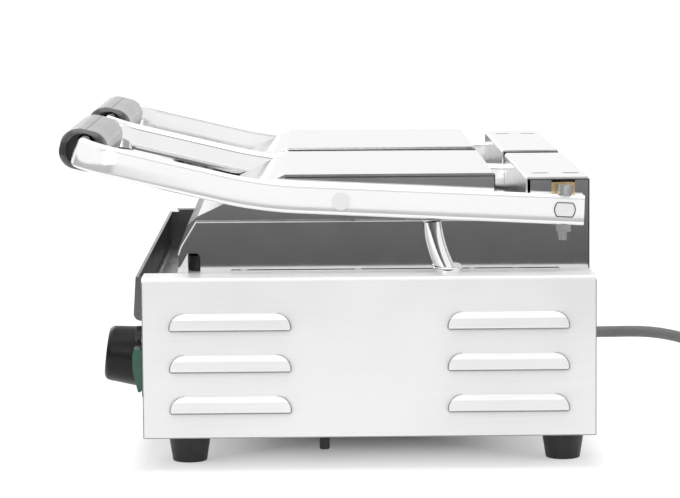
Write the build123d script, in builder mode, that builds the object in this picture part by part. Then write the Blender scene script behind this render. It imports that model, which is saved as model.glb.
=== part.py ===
from build123d import *
import os
from math import asin, atan2, cos, degrees, pi, radians, sin, tan

# Double counter-top contact grill: a sheet metal base with one wide cast plate,
# and two heads beside each other, each hung in a bent tube frame that hinges at the back.
# X is to the right seen from the front, Y to the back, Z up. The origin is on the surface
# it stands on, midway between the fronts of the grips and the back of the base.

os.makedirs("parts", exist_ok=True)

# Driving dimensions in millimetres: base
body_width = 570
body_depth = 314
body_height = 111.5
foot_height = 22
sheet = 1.2
fold_radius = 2.4
rear_inset = 14
panel_set_back = 1
flange = 12

# Feet and peg under the base
foot_top_diameter = 31
foot_tip_diameter = 24
foot_side_inset = 40
foot_front = 30.5
foot_rear_inset = 20
foot_screw_diameter = 5
foot_screw_recess = 12
peg_diameter = 7.2
peg_length = 15
peg_setback = 125.6

# Louvres in the sides
louvre_length = 83
louvre_height = 11.7
louvre_depth = 3.6
louvre_corner = 9.5
louvre_slope = 4
louvre_rows = 3
louvre_pitch = 28.8
louvre_lift = 17.5
louvre_inset = 60.8

# Drip tray
tray_side_inset = 35
tray_height = 31
tray_depth = 34
tray_overhang_top = 6
tray_overhang_bottom = 8
tray_corner = 5
tray_gap = 0.5
tray_lip = 1.6
housing_height = 34

# Lower plate and its heater
lower_plate_side_gap = 9.5
lower_plate_rear_gap = 11
lower_plate_front = 30
lower_plate_height = 11.5
boss_height = 6
boss_margin = 9
opening_gap = 1
groove_pitch = 9.5
groove_width = 4
groove_depth = 2.5
plate_rim = 7
element_diameter = 6.5
element_bend = 18
clamp_thickness = 1.5
insulation_height = 17
stud_diameter = 5

# Splash guard
guard_rear_inset = 1.8
guard_height = 35.5
guard_tip_y = 24.4
guard_tip_height = 12.3
guard_nose_y = 26.3
guard_nose_height = 18
guard_top_front_y = 36.7
guard_toe_y = 23.7
notch_start = 31
notch_width = 8.5
notch_height = 14.6
notch_round = 5.5
guard_slot_front = 60
guard_slot_rear_inset = 22
guard_slot_height = 2
guard_flange = 6.5

# Hinge towers and hinges
hinge_inset = 20
hinge_lift = 43.4
tower_reach = 23
tower_rise = 21.9
cover_overhang = 3.2
cover_drop = 56
cover_slot_length = 12.5
cover_slot_width = 7
cover_slot_inset = 36
cover_slot_pitch = 21.5
window_width = 16.5
bearing_length = 12
bearing_width = 30
bearing_drop = 16
bearing_rise = 18
shaft_diameter = 14
shaft_flats = 9.5
running_clearance = 0.05
spring_wire = 3
spring_radius = 10.5
spring_turns = 10
spring_pitch = 3.3

# Handle frame
arm_height = 21
arm_width = 12
arm_side_margin = 28.5
arm_gap = 3
arm_clearance = 2
arm_corner = 4
arm_wall = 1.5
arm_slope = 2.86
arm_rear_overhang = 13.6
knee_setback = 81.7
knee_radius = 300
crossbar_reach = 44
crossbar_lift = 84.2
crossbar_bend = 28
grip_depth = 34.4
grip_height = 29.5
grip_corner = 13
grip_end_gap = 37
grip_round = 7
grip_recess = 12
grip_recess_diameter = 24.5
bolt_diameter = 6
bolt_head_diameter = 10.8
bolt_head_height = 6.5
nut_across_flats = 10
nut_height = 5
bolt_tail = 6
lid_opening = 60

# Conduit from the outer arm into the base
conduit_radius = 92.4
conduit_diameter = 13
conduit_wall = 1.5
conduit_spare_angle = 1.3
conduit_gap = 0.5
collar_diameter = 21
collar_height = 4

# Head and its pivots
head_side_gap = 5.5
head_front = 22.9
head_rear_gap = 24.2
head_top_lift = 68
head_bottom_lift = 13
head_slope_top = 99.3
head_brow_y = 37.6
head_brow_lift = 39
head_chin_y = 30.5
head_chin_lift = 33
head_fold = 1.6
pivot_behind_middle = 3.25
pivot_drop = 0.6
pivot_diameter = 8
pivot_disc_diameter = 12.2
pivot_disc_height = 1.1
pivot_spacer_diameter = 14
pivot_collar_diameter = 11
pivot_collar_length = 3
side_clearance = 0.4
bracket_thickness = 6
bracket_depth = 44
bracket_rise = 9
upper_plate_side_gap = 4
upper_plate_end_gap = 4.95
upper_plate_height = 12
upper_element_run_margin = 64
upper_element_gap = 44
upper_wool_side_gap = 17
upper_wool_end_gap = 30
plate_gap = 0.5

# Controls
control_side_inset = 101
knob_drop = 68.7
knob_base_diameter = 43.6
knob_front_diameter = 38.9
knob_length = 25.3
knob_tilt = 7
knob_edge = 4.5
knob_gap = 0.5
dial_diameter = 44
dial_thickness = 4
spindle_diameter = 6
knob_bore = 14
thermostat_diameter = 34
thermostat_length = 24
switch_side_inset = 52
switch_drop = 70.2
switch_frame_width = 25.5
switch_frame_height = 36.6
switch_frame_proud = 4
switch_body_length = 26
rocker_width = 17
rocker_height = 31.4
rocker_proud = 10.8
rocker_slant = 3.6
rocker_bow = 20
rocker_gap = 0.5
rocker_swing_room = 0.8
lamp_drop = 45.5
lamp_body_length = 20
lamp_diameter = 9
lamp_bezel_diameter = 12.4
lamp_bezel_proud = 8.3
lamp_sink = 0.8

# Mains cord
cord_diameter = 8.7
cord_height = 55.9
gland_diameter = 20
gland_tip_diameter = 12
gland_flange = 3
gland_nose = 23
gland_nut = 5
terminal_length = 64
terminal_depth = 24
terminal_height = 22
terminal_setback = 45
coil_centre_x = -52.2
coil_behind = 166
coil_turn_radius = 47.85
coil_layers = 3
plug_diameter = 37
plug_face_length = 18
plug_grip_length = 20
plug_relief_length = 24
plug_relief_diameter = 12
plug_pin_diameter = 4.8
plug_pin_length = 19
plug_pin_spacing = 19
plug_tail = 56

# Sizes that follow from the width of the base: the arms, and what lies between them
arm_offset = (body_width / 2 - arm_side_margin - arm_gap / 2 - arm_width / 2) / 2
grill_offset = arm_offset + arm_width / 2 + arm_gap / 2
tower_half_width = arm_offset - arm_width / 2 - arm_clearance
guard_width = 2 * (grill_offset + tower_half_width)
head_width = 2 * (tower_half_width - head_side_gap)
grip_length = 2 * (arm_offset - grip_end_gap)
lower_plate_width = guard_width - 2 * lower_plate_side_gap
upper_plate_width = head_width - 2 * upper_plate_side_gap
tray_width = body_width - 2 * tray_side_inset
foot_spacing_x = body_width - 2 * foot_side_inset
control_x = body_width / 2 - control_side_inset
switch_x = body_width / 2 - switch_side_inset

# Sizes that follow from the depth of the base, measured back from its front
guard_rear = body_depth - guard_rear_inset
hinge_setback = body_depth - hinge_inset
tower_front = hinge_setback - tower_reach
lower_plate_depth = tower_front - lower_plate_rear_gap - lower_plate_front
head_rear = tower_front - head_rear_gap
pivot_setback = (head_front + head_rear) / 2 + pivot_behind_middle
upper_plate_depth = head_rear - head_front - 2 * upper_plate_end_gap
guard_slot_length = body_depth - guard_slot_front - guard_slot_rear_inset
foot_rear = body_depth - foot_rear_inset
louvre_columns = (louvre_inset, body_depth - louvre_inset)

# Heights that follow from the deck
deck_z = foot_height + body_height
hinge_height = deck_z + hinge_lift
tower_top = hinge_height + tower_rise
crossbar_height = deck_z + crossbar_lift
head_top = deck_z + head_top_lift
head_bottom = deck_z + head_bottom_lift
head_brow_z = deck_z + head_brow_lift
head_chin_z = deck_z + head_chin_lift
pivot_height = hinge_height + (hinge_setback - pivot_setback) * tan(radians(arm_slope)) - pivot_drop
knob_height = deck_z - knob_drop
switch_height = deck_z - switch_drop
lamp_height = deck_z - lamp_drop
louvre_low_edge = foot_height + louvre_lift

# Front of the grips, whose section is turned to the slope of the front of the arms
knee_z = hinge_height + (hinge_setback - knee_setback) * tan(radians(arm_slope))
grip_slope = atan2(crossbar_height - knee_z, knee_setback + crossbar_reach)
grip_half_depth = (
    (grip_depth / 2 - grip_corner) * cos(grip_slope)
    + (grip_height / 2 - grip_corner) * sin(grip_slope)
    + grip_corner
)

# Places worked out from the sizes
grip_reach = crossbar_reach + grip_half_depth
front_y = (grip_reach - body_depth) / 2
rear_y = front_y + body_depth
half_width = body_width / 2
inner_half = half_width - sheet
floor_z = foot_height
under_deck = deck_z - sheet
panel_y = front_y + panel_set_back
rear_panel_y = rear_y - rear_inset
tray_bottom = deck_z - 2 - tray_height - tray_gap
housing_floor = under_deck - housing_height
tray_rear_y = front_y + tray_depth - tray_overhang_bottom + 1
housing_rear_y = tray_rear_y + 1
hinge_y = front_y + hinge_setback
hinge_z = hinge_height
guard_half = guard_width / 2
guard_inner = guard_half - sheet
guard_rear_y = front_y + guard_rear
tower_cap_z = tower_top - sheet
inner_plate_x = grill_offset - tower_half_width
lower_front_y = front_y + lower_plate_front
lower_centre_y = lower_front_y + lower_plate_depth / 2
lower_top_z = deck_z + lower_plate_height
boss_z = deck_z - boss_height
pivot_y = front_y + pivot_setback
pivot_z = pivot_height
upper_bottom_z = lower_top_z + plate_gap
upper_top_z = upper_bottom_z + upper_plate_height
upper_centre_y = pivot_y
crossbar_y = front_y - crossbar_reach
knee_y = front_y + knee_setback
sides = {"right": 1, "left": -1}
everything = 2000


def export(node, name):
    node.part.label = name
    export_step(node.part, f"parts/{name}.step")


def seen_from_side(x):
    """Sketch plane with Y across and Z up, whose normal is +X, at x."""
    return Plane(origin=(x, 0, 0), x_dir=(0, 1, 0), z_dir=(1, 0, 0))


def seen_from_front(y):
    """Sketch plane with X across and Z up, whose normal is towards the front, at y."""
    return Plane(origin=(0, y, 0), x_dir=(1, 0, 0), z_dir=(0, -1, 0))


# Conduit: an arc about the hinge axis, so that it slides through the deck as the lid opens.
# Its lower end stays in the base when the lid is fully open.
hinge_axis = Axis((0, hinge_y, hinge_z), (1, 0, 0))
deck_angle = degrees(asin((hinge_z - deck_z) / conduit_radius))
conduit_end_angle = deck_angle + lid_opening + conduit_spare_angle


def conduit_arc(side, outer, inner, start_angle, end_angle):
    """Arc of tube below the outer arm, from start_angle to end_angle below the level of the hinge."""
    x = side * (grill_offset + arm_offset)
    turn = radians(start_angle)
    centre = (x, hinge_y - conduit_radius * cos(turn), hinge_z - conduit_radius * sin(turn))
    section = Plane(origin=centre, x_dir=(1, 0, 0), z_dir=(0, sin(turn), -cos(turn)))
    with BuildPart(mode=Mode.PRIVATE) as arc:
        with BuildSketch(section):
            Circle(outer / 2)
            if inner > 0:
                Circle(inner / 2, mode=Mode.SUBTRACT)
        revolve(axis=hinge_axis, revolution_arc=end_angle - start_angle)
    return arc.part


conduit_passages = [
    conduit_arc(side, conduit_diameter + 2 * conduit_gap, 0, 5, conduit_end_angle)
    for side in sides.values()
]

# Louvre: a shallow hood pressed out of the side, open along its lower edge.
with BuildPart() as louvre_hood:
    with BuildSketch(seen_from_side(0)):
        RectangleRounded(louvre_length, 2 * louvre_height, louvre_corner)
        with Locations((0, -louvre_height)):
            Rectangle(louvre_length, 2 * louvre_height, mode=Mode.SUBTRACT)
    extrude(amount=louvre_depth)
    with BuildSketch(seen_from_front(0)):
        with BuildLine():
            Polyline(
                (sheet / 2, louvre_height),
                (louvre_depth, louvre_height - louvre_slope),
                (louvre_depth, louvre_height),
                close=True,
            )
        make_face()
    extrude(amount=everything, both=True, mode=Mode.SUBTRACT)
    hood_edges = louvre_hood.edges().filter_by(Axis.Y).group_by(Axis.X)[-1]
    fillet(hood_edges, 1.5)

with BuildPart() as louvre_hollow:
    with BuildSketch(seen_from_side(-2 * sheet)):
        with Locations((0, -louvre_height / 2)):
            RectangleRounded(louvre_length - 2 * sheet, 3 * louvre_height - 2 * sheet, louvre_corner - sheet)
        with Locations((0, -louvre_height)):
            Rectangle(louvre_length, 2 * louvre_height, mode=Mode.SUBTRACT)
    extrude(amount=2 * sheet + louvre_depth)
    with BuildSketch(seen_from_front(0)):
        with BuildLine():
            Polyline(
                (-sheet / 2, louvre_height),
                (louvre_depth - sheet, louvre_height - louvre_slope - sheet / 4),
                (louvre_depth - sheet, -1),
                (louvre_depth + 1, -1),
                (louvre_depth + 1, louvre_height),
                close=True,
            )
        make_face()
    extrude(amount=everything, both=True, mode=Mode.SUBTRACT)

louvre_spots = [
    (half_width, front_y + column, louvre_low_edge + row * louvre_pitch)
    for column in louvre_columns
    for row in range(louvre_rows)
]
right_hood = louvre_hood.part
right_hollow = louvre_hollow.part
left_hood = mirror(right_hood, Plane.YZ)
left_hollow = mirror(right_hollow, Plane.YZ)

# Base casing: both sides and the deck, folded from one sheet.
with BuildPart() as base_casing:
    with BuildSketch(seen_from_front(rear_y)) as casing_profile:
        with Locations((0, floor_z + body_height / 2)):
            Rectangle(body_width, body_height)
        fillet(casing_profile.vertices().group_by(Axis.Y)[-1], fold_radius)
        with Locations((0, under_deck - body_height)):
            RectangleRounded(
                2 * inner_half, 2 * body_height, fold_radius - sheet, mode=Mode.SUBTRACT
            )
    extrude(amount=body_depth)
    with BuildSketch(Plane.XY.offset(under_deck)):
        with Locations((0, (front_y + housing_rear_y) / 2)):
            Rectangle(tray_width + 2 * tray_gap, housing_rear_y - front_y)
        with Locations((0, lower_centre_y)):
            RectangleRounded(
                lower_plate_width - 2 * boss_margin + 2 * opening_gap,
                lower_plate_depth - 2 * boss_margin + 2 * opening_gap,
                8,
            )
    extrude(amount=2 * sheet, mode=Mode.SUBTRACT)
    for passage in conduit_passages:
        add(passage, mode=Mode.SUBTRACT)
    with Locations(louvre_spots):
        add(right_hood)
        add(right_hollow, mode=Mode.SUBTRACT)
    with Locations([(-x, y, z) for x, y, z in louvre_spots]):
        add(left_hood)
        add(left_hollow, mode=Mode.SUBTRACT)
export(base_casing, "base_casing")

# Tray housing: the channel under the deck that the drip tray slides in.
with BuildPart() as tray_housing:
    with BuildSketch(Plane.XY.offset(housing_floor)):
        with Locations((0, (panel_y + sheet + housing_rear_y + sheet) / 2)):
            Rectangle(tray_width + 2 * tray_gap + 2 * sheet, housing_rear_y - panel_y)
    extrude(amount=housing_height)
    with BuildSketch(Plane.XY.offset(housing_floor + sheet)):
        with Locations((0, housing_rear_y - body_depth / 2)):
            Rectangle(tray_width + 2 * tray_gap, body_depth)
    extrude(amount=housing_height, mode=Mode.SUBTRACT)
export(tray_housing, "tray_housing")

# Drip tray: an open trough whose front wall is the drawer's front.
tray_top = tray_bottom + tray_height
with BuildPart() as drip_tray:
    with BuildSketch(seen_from_side(-tray_width / 2)) as trough_profile:
        with BuildLine():
            Polyline(
                (front_y - tray_overhang_bottom, tray_bottom),
                (tray_rear_y, tray_bottom),
                (tray_rear_y, tray_top - 2),
                (front_y - tray_overhang_top, tray_top),
                close=True,
            )
        make_face()
        fillet(trough_profile.vertices().group_by(Axis.Y)[0], tray_corner)
    extrude(amount=tray_width)
    with BuildSketch(seen_from_side(-tray_width / 2 + sheet)) as trough_hollow:
        with BuildLine():
            Polyline(
                (front_y - tray_overhang_bottom + sheet, tray_bottom + sheet),
                (tray_rear_y - sheet, tray_bottom + sheet),
                (tray_rear_y - sheet, tray_top + 2),
                (front_y - tray_overhang_top + sheet, tray_top + 2),
                close=True,
            )
        make_face()
        fillet(trough_hollow.vertices().group_by(Axis.Y)[0], tray_corner - sheet)
    extrude(amount=tray_width - 2 * sheet, mode=Mode.SUBTRACT)
    with BuildSketch(Plane.XY.offset(tray_top - sheet)):
        with Locations((0, front_y - tray_overhang_top + tray_lip / 2 + sheet / 2)):
            Rectangle(tray_width, tray_lip)
    extrude(amount=sheet)
export(drip_tray, "drip_tray")

# Front panel, with its flanges under the tray housing and on the bottom plate.
control_spots = [(side * control_x, knob_height) for side in (1, -1)]
switch_spots = [(side * switch_x, switch_height) for side in (1, -1)]
lamp_spots = [(side * switch_x, lamp_height) for side in (1, -1)]
panel_bottom = floor_z + sheet
switch_body_width = switch_frame_width - 4
switch_body_height = switch_frame_height - 4
with BuildPart() as front_panel:
    with BuildSketch(seen_from_side(-inner_half)):
        with BuildLine():
            Polyline(
                (panel_y, panel_bottom),
                (panel_y + flange, panel_bottom),
                (panel_y + flange, panel_bottom + sheet),
                (panel_y + sheet, panel_bottom + sheet),
                (panel_y + sheet, housing_floor - sheet),
                (panel_y + flange, housing_floor - sheet),
                (panel_y + flange, housing_floor),
                (panel_y, housing_floor),
                close=True,
            )
        make_face()
    extrude(amount=2 * inner_half)
    with BuildSketch(seen_from_front(panel_y + sheet)) as panel_ears:
        with Locations((0, (housing_floor + under_deck) / 2)):
            Rectangle(2 * inner_half, under_deck - housing_floor)
        fillet(panel_ears.vertices().group_by(Axis.Y)[-1], fold_radius)
        with Locations((0, (housing_floor + under_deck) / 2)):
            Rectangle(tray_width + 2 * (tray_gap + sheet), body_height, mode=Mode.SUBTRACT)
    extrude(amount=sheet)
    with BuildSketch(seen_from_front(panel_y + sheet)):
        with Locations(control_spots):
            Circle(spindle_diameter / 2 + 2)
        with Locations(switch_spots):
            Rectangle(switch_body_width, switch_body_height)
        with Locations(lamp_spots):
            Circle(lamp_diameter / 2)
    extrude(amount=sheet, mode=Mode.SUBTRACT)
export(front_panel, "front_panel")

# Bottom plate, with air slots
bottom_length = body_depth - panel_set_back
bottom_centre_y = (panel_y + rear_y) / 2
with BuildPart() as bottom_plate:
    with BuildSketch(Plane.XY.offset(floor_z)):
        with Locations((0, bottom_centre_y)):
            Rectangle(2 * inner_half, bottom_length)
        with Locations((0, bottom_centre_y)):
            with GridLocations(30, 90, 11, 2):
                SlotOverall(50, 5, rotation=90, mode=Mode.SUBTRACT)
    extrude(amount=sheet)
export(bottom_plate, "bottom_plate")

# Rear panel, set in from the back edge, with air slots and the hole for the cable gland
with BuildPart() as rear_panel:
    with BuildSketch(seen_from_front(rear_panel_y)) as rear_outline:
        with Locations((0, (panel_bottom + under_deck) / 2)):
            Rectangle(2 * inner_half, under_deck - panel_bottom)
        fillet(rear_outline.vertices().group_by(Axis.Y)[-1], fold_radius)
        with Locations((-170, cord_height + 30), (170, cord_height + 30)):
            with GridLocations(12, 50, 11, 1):
                SlotOverall(45, 5, rotation=90, mode=Mode.SUBTRACT)
        with Locations((0, cord_height)):
            Circle(gland_tip_diameter / 2, mode=Mode.SUBTRACT)
    extrude(amount=sheet)
export(rear_panel, "rear_panel")

# Feet: rubber cones, each with a screw up through it into the bottom plate
foot_spots = [
    (side * foot_spacing_x / 2, front_y + setback)
    for side in (1, -1)
    for setback in (foot_front, foot_rear)
]
with BuildPart() as feet:
    for x, y in foot_spots:
        with Locations((x, y, foot_height / 2)):
            Cone(foot_tip_diameter / 2, foot_top_diameter / 2, foot_height)
        with Locations((x, y, foot_screw_recess / 2)):
            Cylinder(foot_screw_diameter + 0.5, foot_screw_recess, mode=Mode.SUBTRACT)
        with Locations((x, y, foot_height / 2)):
            Cylinder(foot_screw_diameter / 2, foot_height, mode=Mode.SUBTRACT)
    fillet(feet.edges().filter_by(GeomType.CIRCLE).group_by(Axis.Z)[0], 1)
export(feet, "feet")

screw_head_height = 3.5
with BuildPart() as foot_screws:
    for x, y in foot_spots:
        with Locations((x, y, foot_screw_recess - screw_head_height / 2)):
            Cylinder(foot_screw_diameter - 0.5, screw_head_height)
        shank = foot_height - foot_screw_recess
        with Locations((x, y, foot_screw_recess + shank / 2)):
            Cylinder(foot_screw_diameter / 2, shank)
export(foot_screws, "foot_screws")

with BuildPart() as locating_pegs:
    for side in (1, -1):
        with Locations((side * foot_spacing_x / 2, front_y + peg_setback, floor_z - peg_length / 2)):
            Cylinder(peg_diameter / 2, peg_length)
    fillet(locating_pegs.edges().group_by(Axis.Z)[0], 1)
export(locating_pegs, "locating_pegs")


def groove_count(width):
    return int((width - 2 * plate_rim) // groove_pitch)


# Lower plate: one ribbed casting on the deck, with a boss down through it
boss_width = lower_plate_width - 2 * boss_margin
boss_depth = lower_plate_depth - 2 * boss_margin
with BuildPart() as lower_plate:
    with BuildSketch(Plane.XY.offset(deck_z)):
        with Locations((0, lower_centre_y)):
            RectangleRounded(lower_plate_width, lower_plate_depth, 8)
    extrude(amount=lower_plate_height)
    fillet(lower_plate.faces().sort_by(Axis.Z)[-1].edges(), 1.5)
    with BuildSketch(Plane.XY.offset(boss_z)):
        with Locations((0, lower_centre_y)):
            RectangleRounded(boss_width, boss_depth, 7)
    extrude(amount=boss_height)
    with BuildSketch(Plane.XY.offset(lower_top_z)):
        with Locations((0, lower_centre_y)):
            with GridLocations(groove_pitch, 1, groove_count(lower_plate_width), 1):
                SlotOverall(lower_plate_depth - 2 * plate_rim, groove_width, rotation=90)
    extrude(amount=-groove_depth, mode=Mode.SUBTRACT)
export(lower_plate, "lower_plate")


def element_path(x, y, z, run_length, run_gap, front_end):
    """Centreline of a heating element of four runs, whose two ends come out at front_end."""
    low = y - run_length / 2
    high = y + run_length / 2
    columns = [x + (column - 1.5) * run_gap for column in range(4)]
    return [
        (columns[0], front_end, z),
        (columns[0], high, z),
        (columns[1], high, z),
        (columns[1], low, z),
        (columns[2], low, z),
        (columns[2], high, z),
        (columns[3], high, z),
        (columns[3], front_end, z),
    ]


def heating_element(x, y, z, run_length, run_gap):
    """Tubular heating element bent into four runs."""
    points = element_path(x, y, z, run_length, run_gap, y - run_length / 2 - 6)
    with BuildPart(mode=Mode.PRIVATE) as element:
        with BuildLine() as centreline:
            FilletPolyline(*points, radius=element_bend)
        with BuildSketch(Plane(origin=points[0], z_dir=(0, 1, 0))):
            Circle(element_diameter / 2)
        sweep(path=centreline.line)
    return element.part


# Lower heating elements, the plates that clamp them, the insulation and the studs that hold all
element_run = boss_depth - 30
element_gap = 52
with BuildPart() as lower_elements:
    for side in (1, -1):
        element_z = boss_z - element_diameter / 2
        add(heating_element(side * boss_width / 4, lower_centre_y, element_z, element_run, element_gap))
export(lower_elements, "lower_elements")

clamp_top_z = boss_z - element_diameter
clamp_width = boss_width / 2 - 20
clamp_depth = boss_depth - 20
with BuildPart() as element_clamps:
    with BuildSketch(Plane.XY.offset(clamp_top_z)):
        with Locations((-boss_width / 4, lower_centre_y), (boss_width / 4, lower_centre_y)):
            Rectangle(clamp_width, clamp_depth)
            Circle(stud_diameter / 2, mode=Mode.SUBTRACT)
    extrude(amount=-clamp_thickness)
export(element_clamps, "element_clamps")

insulation_top_z = clamp_top_z - clamp_thickness
with BuildPart() as lower_insulation:
    with BuildSketch(Plane.XY.offset(insulation_top_z)):
        with Locations((-boss_width / 4, lower_centre_y), (boss_width / 4, lower_centre_y)):
            Rectangle(clamp_width, clamp_depth)
            Circle(stud_diameter / 2, mode=Mode.SUBTRACT)
    extrude(amount=-insulation_height)
export(lower_insulation, "lower_insulation")

with BuildPart() as clamp_studs:
    stud_low_z = insulation_top_z - insulation_height
    with BuildSketch(Plane.XY.offset(boss_z)):
        with Locations((-boss_width / 4, lower_centre_y), (boss_width / 4, lower_centre_y)):
            Circle(stud_diameter / 2)
    extrude(amount=stud_low_z - boss_z)
    with BuildSketch(Plane.XY.offset(stud_low_z)):
        with Locations((-boss_width / 4, lower_centre_y), (boss_width / 4, lower_centre_y)):
            RegularPolygon(stud_diameter, 6)
    extrude(amount=-4)
export(clamp_studs, "clamp_studs")


# Splash guard: bent sheet round the back and sides, with the towers' outer plates in one piece
window_half = window_width / 2
notch_y = front_y + notch_start + notch_width / 2
guard_slot_y = front_y + guard_slot_front + guard_slot_length / 2
with BuildSketch(Plane.XY) as notch_outline:
    with Locations((notch_y, deck_z)):
        Rectangle(notch_width, 2 * notch_height)
    fillet(notch_outline.vertices().group_by(Axis.Y)[-1].sort_by(Axis.X)[-1], notch_round)
with BuildPart() as splash_guard:
    with BuildSketch(seen_from_side(-guard_half)) as guard_side:
        with BuildLine():
            Polyline(
                (front_y + guard_toe_y, deck_z),
                (guard_rear_y, deck_z),
                (guard_rear_y, tower_cap_z),
                (front_y + tower_front, tower_cap_z),
                (front_y + tower_front, deck_z + guard_height),
                (front_y + guard_top_front_y, deck_z + guard_height),
                (front_y + guard_nose_y, deck_z + guard_nose_height),
                (front_y + guard_tip_y, deck_z + guard_tip_height),
                close=True,
            )
        make_face()
        add(notch_outline.sketch, mode=Mode.SUBTRACT)
        with Locations((hinge_y, hinge_z)):
            Circle(window_half, mode=Mode.SUBTRACT)
        with Locations((hinge_y, hinge_z + 25)):
            Rectangle(window_width, 50, mode=Mode.SUBTRACT)
    extrude(amount=guard_width)
    with BuildSketch(Plane.XY.offset(deck_z + sheet)):
        with Locations((0, guard_rear_y - sheet - body_depth / 2)):
            Rectangle(guard_width - 2 * sheet, body_depth)
    extrude(amount=100, mode=Mode.SUBTRACT)
    with BuildSketch(Plane.XY.offset(deck_z)):
        with Locations((0, (front_y + front_y + tower_front) / 2 - 15)):
            Rectangle(guard_width - 2 * guard_flange, tower_front + 20)
    extrude(amount=sheet, mode=Mode.SUBTRACT)
    with BuildSketch(Plane.XY.offset(deck_z + guard_height)):
        with Locations((0, guard_rear_y)):
            Rectangle(2 * inner_plate_x, 4 * sheet)
    extrude(amount=100, mode=Mode.SUBTRACT)
    for side in (1, -1):
        with BuildSketch(seen_from_side(side * guard_inner)):
            with Locations((guard_slot_y, deck_z)):
                SlotOverall(guard_slot_length, 2 * guard_slot_height)
        extrude(amount=side * sheet, mode=Mode.SUBTRACT)
export(splash_guard, "splash_guard")

# Hinge plates: the towers' inner side plates, standing on the guard's rear flange
hinge_foot_z = deck_z + sheet
hinge_plate_depth = guard_rear - sheet - tower_front
hinge_plate_y = front_y + tower_front + hinge_plate_depth / 2
with BuildPart() as hinge_plates:
    for side in (1, -1):
        plate_x = side * inner_plate_x
        with BuildSketch(seen_from_side(plate_x)):
            with Locations((hinge_plate_y, (hinge_foot_z + tower_cap_z) / 2)):
                Rectangle(hinge_plate_depth, tower_cap_z - hinge_foot_z)
            with Locations((hinge_y, hinge_z)):
                Circle(window_half, mode=Mode.SUBTRACT)
            with Locations((hinge_y, hinge_z + 25)):
                Rectangle(window_width, 50, mode=Mode.SUBTRACT)
        extrude(amount=side * sheet)
export(hinge_plates, "hinge_plates")

# Bearing blocks: brass blocks inside the side plates, which carry the shafts
bearing_starts = []
for side in (1, -1):
    bearing_starts.append(side * (guard_inner - bearing_length / 2))
    bearing_starts.append(side * (inner_plate_x + sheet + bearing_length / 2))
with BuildPart() as bearing_blocks:
    for x in bearing_starts:
        with Locations((x, hinge_y, hinge_z + (bearing_rise - bearing_drop) / 2)):
            Box(bearing_length, bearing_width, bearing_rise + bearing_drop)
        with Locations(Location((x, hinge_y, hinge_z), (0, 90, 0))):
            Cylinder(shaft_diameter / 2 + running_clearance, bearing_length, mode=Mode.SUBTRACT)
export(bearing_blocks, "bearing_blocks")

# Torsion springs that take part of the heads' weight, coiled round the shafts
with BuildPart() as torsion_springs:
    for side in (1, -1):
        start_x = side * (inner_plate_x + sheet + bearing_length + spring_wire / 2)
        with BuildLine() as coil_line:
            Helix(
                pitch=spring_pitch,
                height=spring_pitch * spring_turns,
                radius=spring_radius,
                center=(start_x, hinge_y, hinge_z),
                direction=(side, 0, 0),
            )
        with BuildSketch(Plane(origin=coil_line.line @ 0, z_dir=coil_line.line % 0)):
            Circle(spring_wire / 2)
        sweep(path=coil_line.line)
export(torsion_springs, "torsion_springs")

# Guard screws, through the guard's side flanges into the deck
guard_screw_setbacks = (70, 150, 230)
with BuildPart() as guard_screws:
    for side in (1, -1):
        for setback in guard_screw_setbacks:
            with Locations((side * (guard_inner - 3), front_y + setback, deck_z + sheet + 1)):
                Cylinder(2.6, 2)
export(guard_screws, "guard_screws")

# Conduit collars on the deck
collar_y = hinge_y - conduit_radius * cos(radians(deck_angle))
with BuildPart() as conduit_collars:
    for side in (1, -1):
        with Locations((side * (grill_offset + arm_offset), collar_y, deck_z + collar_height / 2)):
            Cylinder(collar_diameter / 2, collar_height)
    fillet(conduit_collars.edges().group_by(Axis.Z)[-1], 1.2)
    with Locations((0, collar_y, deck_z + collar_height / 2)):
        Box(guard_width, 2 * collar_diameter, collar_height, mode=Mode.SUBTRACT)
    for passage in conduit_passages:
        add(passage, mode=Mode.SUBTRACT)
export(conduit_collars, "conduit_collars")

# The knob's back clears the dial, also where its tilt brings it nearest
knob_back = dial_thickness + knob_gap + knob_base_diameter / 2 * sin(radians(knob_tilt))
knob_taper = degrees(atan2(knob_base_diameter - knob_front_diameter, 2 * knob_length))


def along_spindle(side, distance):
    """Plane square to one control's spindle, at a distance in front of the panel."""
    tilt = radians(knob_tilt)
    origin = (side * control_x, panel_y - distance * cos(tilt), knob_height + distance * sin(tilt))
    return Plane(origin=origin, x_dir=(1, 0, 0), z_dir=(0, -cos(tilt), sin(tilt)))


# Thermostats behind the panel, whose spindles carry the knobs
with BuildPart() as thermostats:
    with BuildSketch(seen_from_front(panel_y + sheet)):
        with Locations(control_spots):
            Circle(thermostat_diameter / 2)
    extrude(amount=-thermostat_length)
    for side in (1, -1):
        with BuildSketch(along_spindle(side, -2 * sheet)):
            Circle(spindle_diameter / 2)
        extrude(amount=2 * sheet + knob_back + knob_bore)
export(thermostats, "thermostats")

with BuildPart() as dial_plates:
    with BuildSketch(seen_from_front(panel_y)):
        with Locations(control_spots):
            Circle(dial_diameter / 2)
            Circle(spindle_diameter / 2 + 2, mode=Mode.SUBTRACT)
    extrude(amount=dial_thickness)
export(dial_plates, "dial_plates")

# Knobs: tapered, turning on spindles that point a little upwards
for name, side in sides.items():
    with BuildPart() as knob:
        with BuildSketch(along_spindle(side, knob_back)):
            Circle(knob_base_diameter / 2)
        extrude(amount=knob_length, taper=knob_taper)
        fillet(knob.faces().sort_by(Axis.Y)[0].edges(), knob_edge)
        with BuildSketch(along_spindle(side, knob_back)):
            Circle(spindle_diameter / 2 + running_clearance)
        extrude(amount=knob_bore, mode=Mode.SUBTRACT)
    export(knob, f"knob_{name}")

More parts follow.
